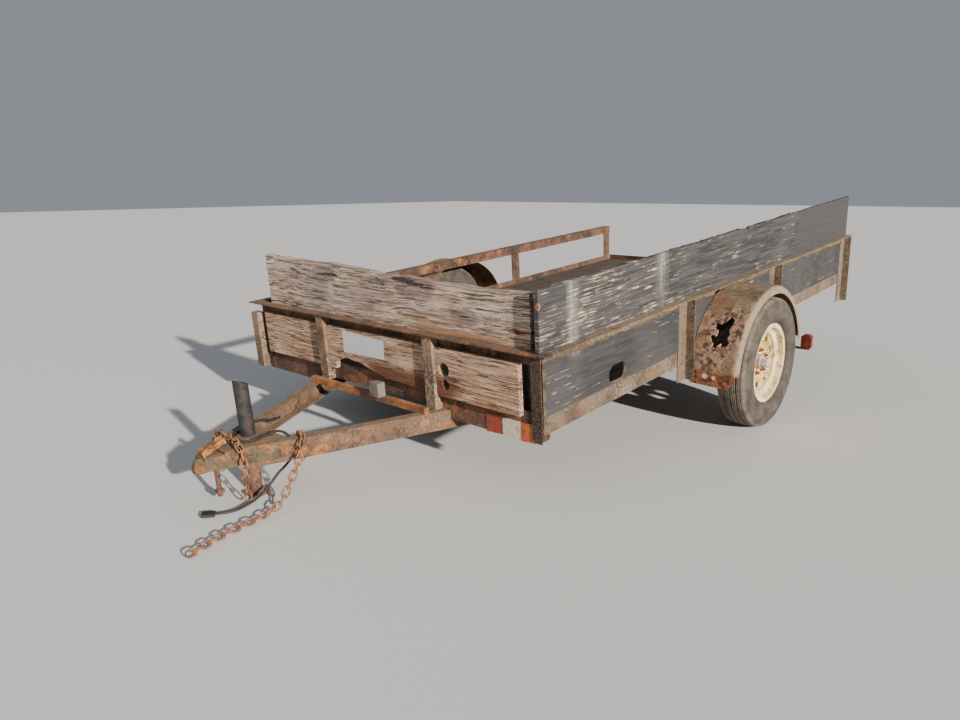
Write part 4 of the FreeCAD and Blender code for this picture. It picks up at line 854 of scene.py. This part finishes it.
def round_links(name, source):
    """Puts a round link in the place of each flat link of a CAD chain."""
    bm = bmesh.new()
    bm.from_mesh(node[source].data)
    bmesh.ops.remove_doubles(bm, verts=bm.verts, dist=0.00002)
    ring_verts, ring_faces = link_ring(LINK_LONG, LINK_WIDE, LINK_WIRE)
    verts, faces = [], []
    for points in islands(bm):
        mid = sum(points, Vector()) / len(points)
        spread = np.array([q - mid for q in points])
        vectors = np.linalg.eigh(spread.T @ spread)[1]
        long_axis, wide_axis = Vector(vectors[:, 2]), Vector(vectors[:, 1])
        flat_axis = long_axis.cross(wide_axis)
        start = len(verts)
        for v in ring_verts:
            verts.append(mid + long_axis * v[0] + wide_axis * v[1] + flat_axis * v[2])
        faces += [[start + k for k in f] for f in ring_faces]
    bm.free()
    add(name, mesh_of(verts, faces), CHAIN, stands_for=[source], smooth=180, level=False)


round_links("safety_chain_left", "chain_left")
round_links("safety_chain_right", "chain_right")

# Wiring cable: off the rail, round the jack on the plate, down and along the ground


def ground_z(x):
    """The ground's height in the level frame."""
    return TYRE_RAD + (math.sin(NOSE_DOWN) * x - TYRE_RAD) / math.cos(NOSE_DOWN)


CABLE_RAD = 0.005
ON_PLATE = 0.377 + 0.0053
JACK_X, LOOP_RAD = 2.030, 0.066
CABLE_LINE = [(1.790, -0.182, 0.335), (1.840, -0.150, 0.343), (1.888, -0.120, 0.373),
              (1.945, -0.094, ON_PLATE + 0.004)]
for angle in (-100, -55, -10, 35, 80, 125):
    a = math.radians(angle)
    CABLE_LINE.append((JACK_X + LOOP_RAD * math.cos(a), LOOP_RAD * math.sin(a), ON_PLATE))
CABLE_LINE += [(1.945, 0.055, ON_PLATE + 0.004), (1.908, 0.058, 0.364), (1.894, 0.064, 0.322),
               (1.906, 0.076, 0.280), (1.942, 0.086, 0.256), (1.985, 0.090, 0.240),
               (2.031, 0.092, 0.203)]
for x, y, up in ((2.086, 0.097, 0.022), (2.145, 0.105, 0.013), (2.200, 0.109, 0.013),
                 (2.237, 0.081, 0.013)):
    CABLE_LINE.append((x, y, ground_z(x) + up))
line = bpy.data.curves.new("wiring_cable_line", "CURVE")
line.dimensions = "3D"
line.bevel_depth = CABLE_RAD
line.bevel_resolution = 4
line.resolution_u = 10
line.use_fill_caps = True
spline = line.splines.new("NURBS")
spline.points.add(len(CABLE_LINE) - 1)
for spot, at in zip(spline.points, CABLE_LINE):
    spot.co = (*row(*at), 1)
spline.order_u = 3
spline.use_endpoint_u = True
cable = bpy.data.objects.new("wiring_cable_line", line)
bpy.context.collection.objects.link(cable)
line.materials.append(CABLE)
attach(cable, "trailer")
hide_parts("wiring_cable")
tuple(row(*CABLE_LINE[0]))

# Front rail's lower face beside the tongue, and the far corner post's wide leg

for name, low, high, mat in (
    ("front_rail_face_left", (1.3962, 0.418, 0.3335), (1.4022, 0.8595, 0.4280), STEEL_RED),
    ("front_rail_face_right", (1.3962, -0.8595, 0.3335), (1.4022, -0.418, 0.4280), STEEL_RED),
    ("far_post_leg", (1.4075, -0.915, 0.3450), (1.4430, -0.862, 0.6185), UPRIGHT),
):
    add(name, lattice(low, high, (1, 1, 1)), mat)

# Label and reflective tape, all blank

LIFT = 0.0006
STICKER = 0.0004


def patch(name, x, corners, mat):
    """A thin sticker: a grid between four corners (y, z), lifted off the plane at x."""
    tl, tr, br, bl = (Vector((x, *c)) for c in corners)
    out = (tr - tl).cross(bl - tl).normalized() * -1
    verts, faces = [], []
    n, m = 16, 6
    for i in range(n + 1):
        for j in range(m + 1):
            s, t = i / n, j / m
            at = (tl * (1 - s) + tr * s) * (1 - t) + (bl * (1 - s) + br * s) * t
            curl = 0.03 * max(0, s - 0.9) * max(0, 0.5 - abs(t - 1))
            verts.append(at + out * (LIFT + curl))
    for i in range(n):
        for j in range(m):
            k = i * (m + 1) + j
            faces.append([k, k + m + 1, k + m + 2, k + 1])
    thicken(add(name, mesh_of(verts, faces), mat), STICKER, 1)


X_BOARD, X_RAIL = 1.424, 1.4032
patch("blank_label", X_BOARD, [(-0.202, 0.612), (0.070, 0.604), (0.066, 0.521), (-0.204, 0.516)],
      LABEL)
for name, low_y, high_y, mat in (("red", 0.603, 0.680, TAPE_RED),
                                 ("white", 0.682, 0.766, TAPE_WHITE),
                                 ("orange", 0.768, 0.832, TAPE_ORANGE)):
    patch("front_tape_" + name, X_RAIL, [(low_y, 0.400), (high_y, 0.402),
                                         (high_y - 0.002, 0.332), (low_y - 0.003, 0.328)], mat)

# Floor

HALF = 40
floor_mesh = mesh_of([(-HALF, -HALF, 0), (HALF, -HALF, 0), (HALF, HALF, 0), (-HALF, HALF, 0)],
                     [[0, 1, 2, 3]])
floor = bpy.data.objects.new("studio_floor", floor_mesh)
bpy.context.collection.objects.link(floor)
pale = bpy.data.materials.new("studio_floor")
pale.use_nodes = True
pale.node_tree.nodes["Principled BSDF"].inputs["Base Color"].default_value = (0.62, 0.62, 0.61, 1)
pale.node_tree.nodes["Principled BSDF"].inputs["Roughness"].default_value = 0.95
floor.data.materials.append(pale)
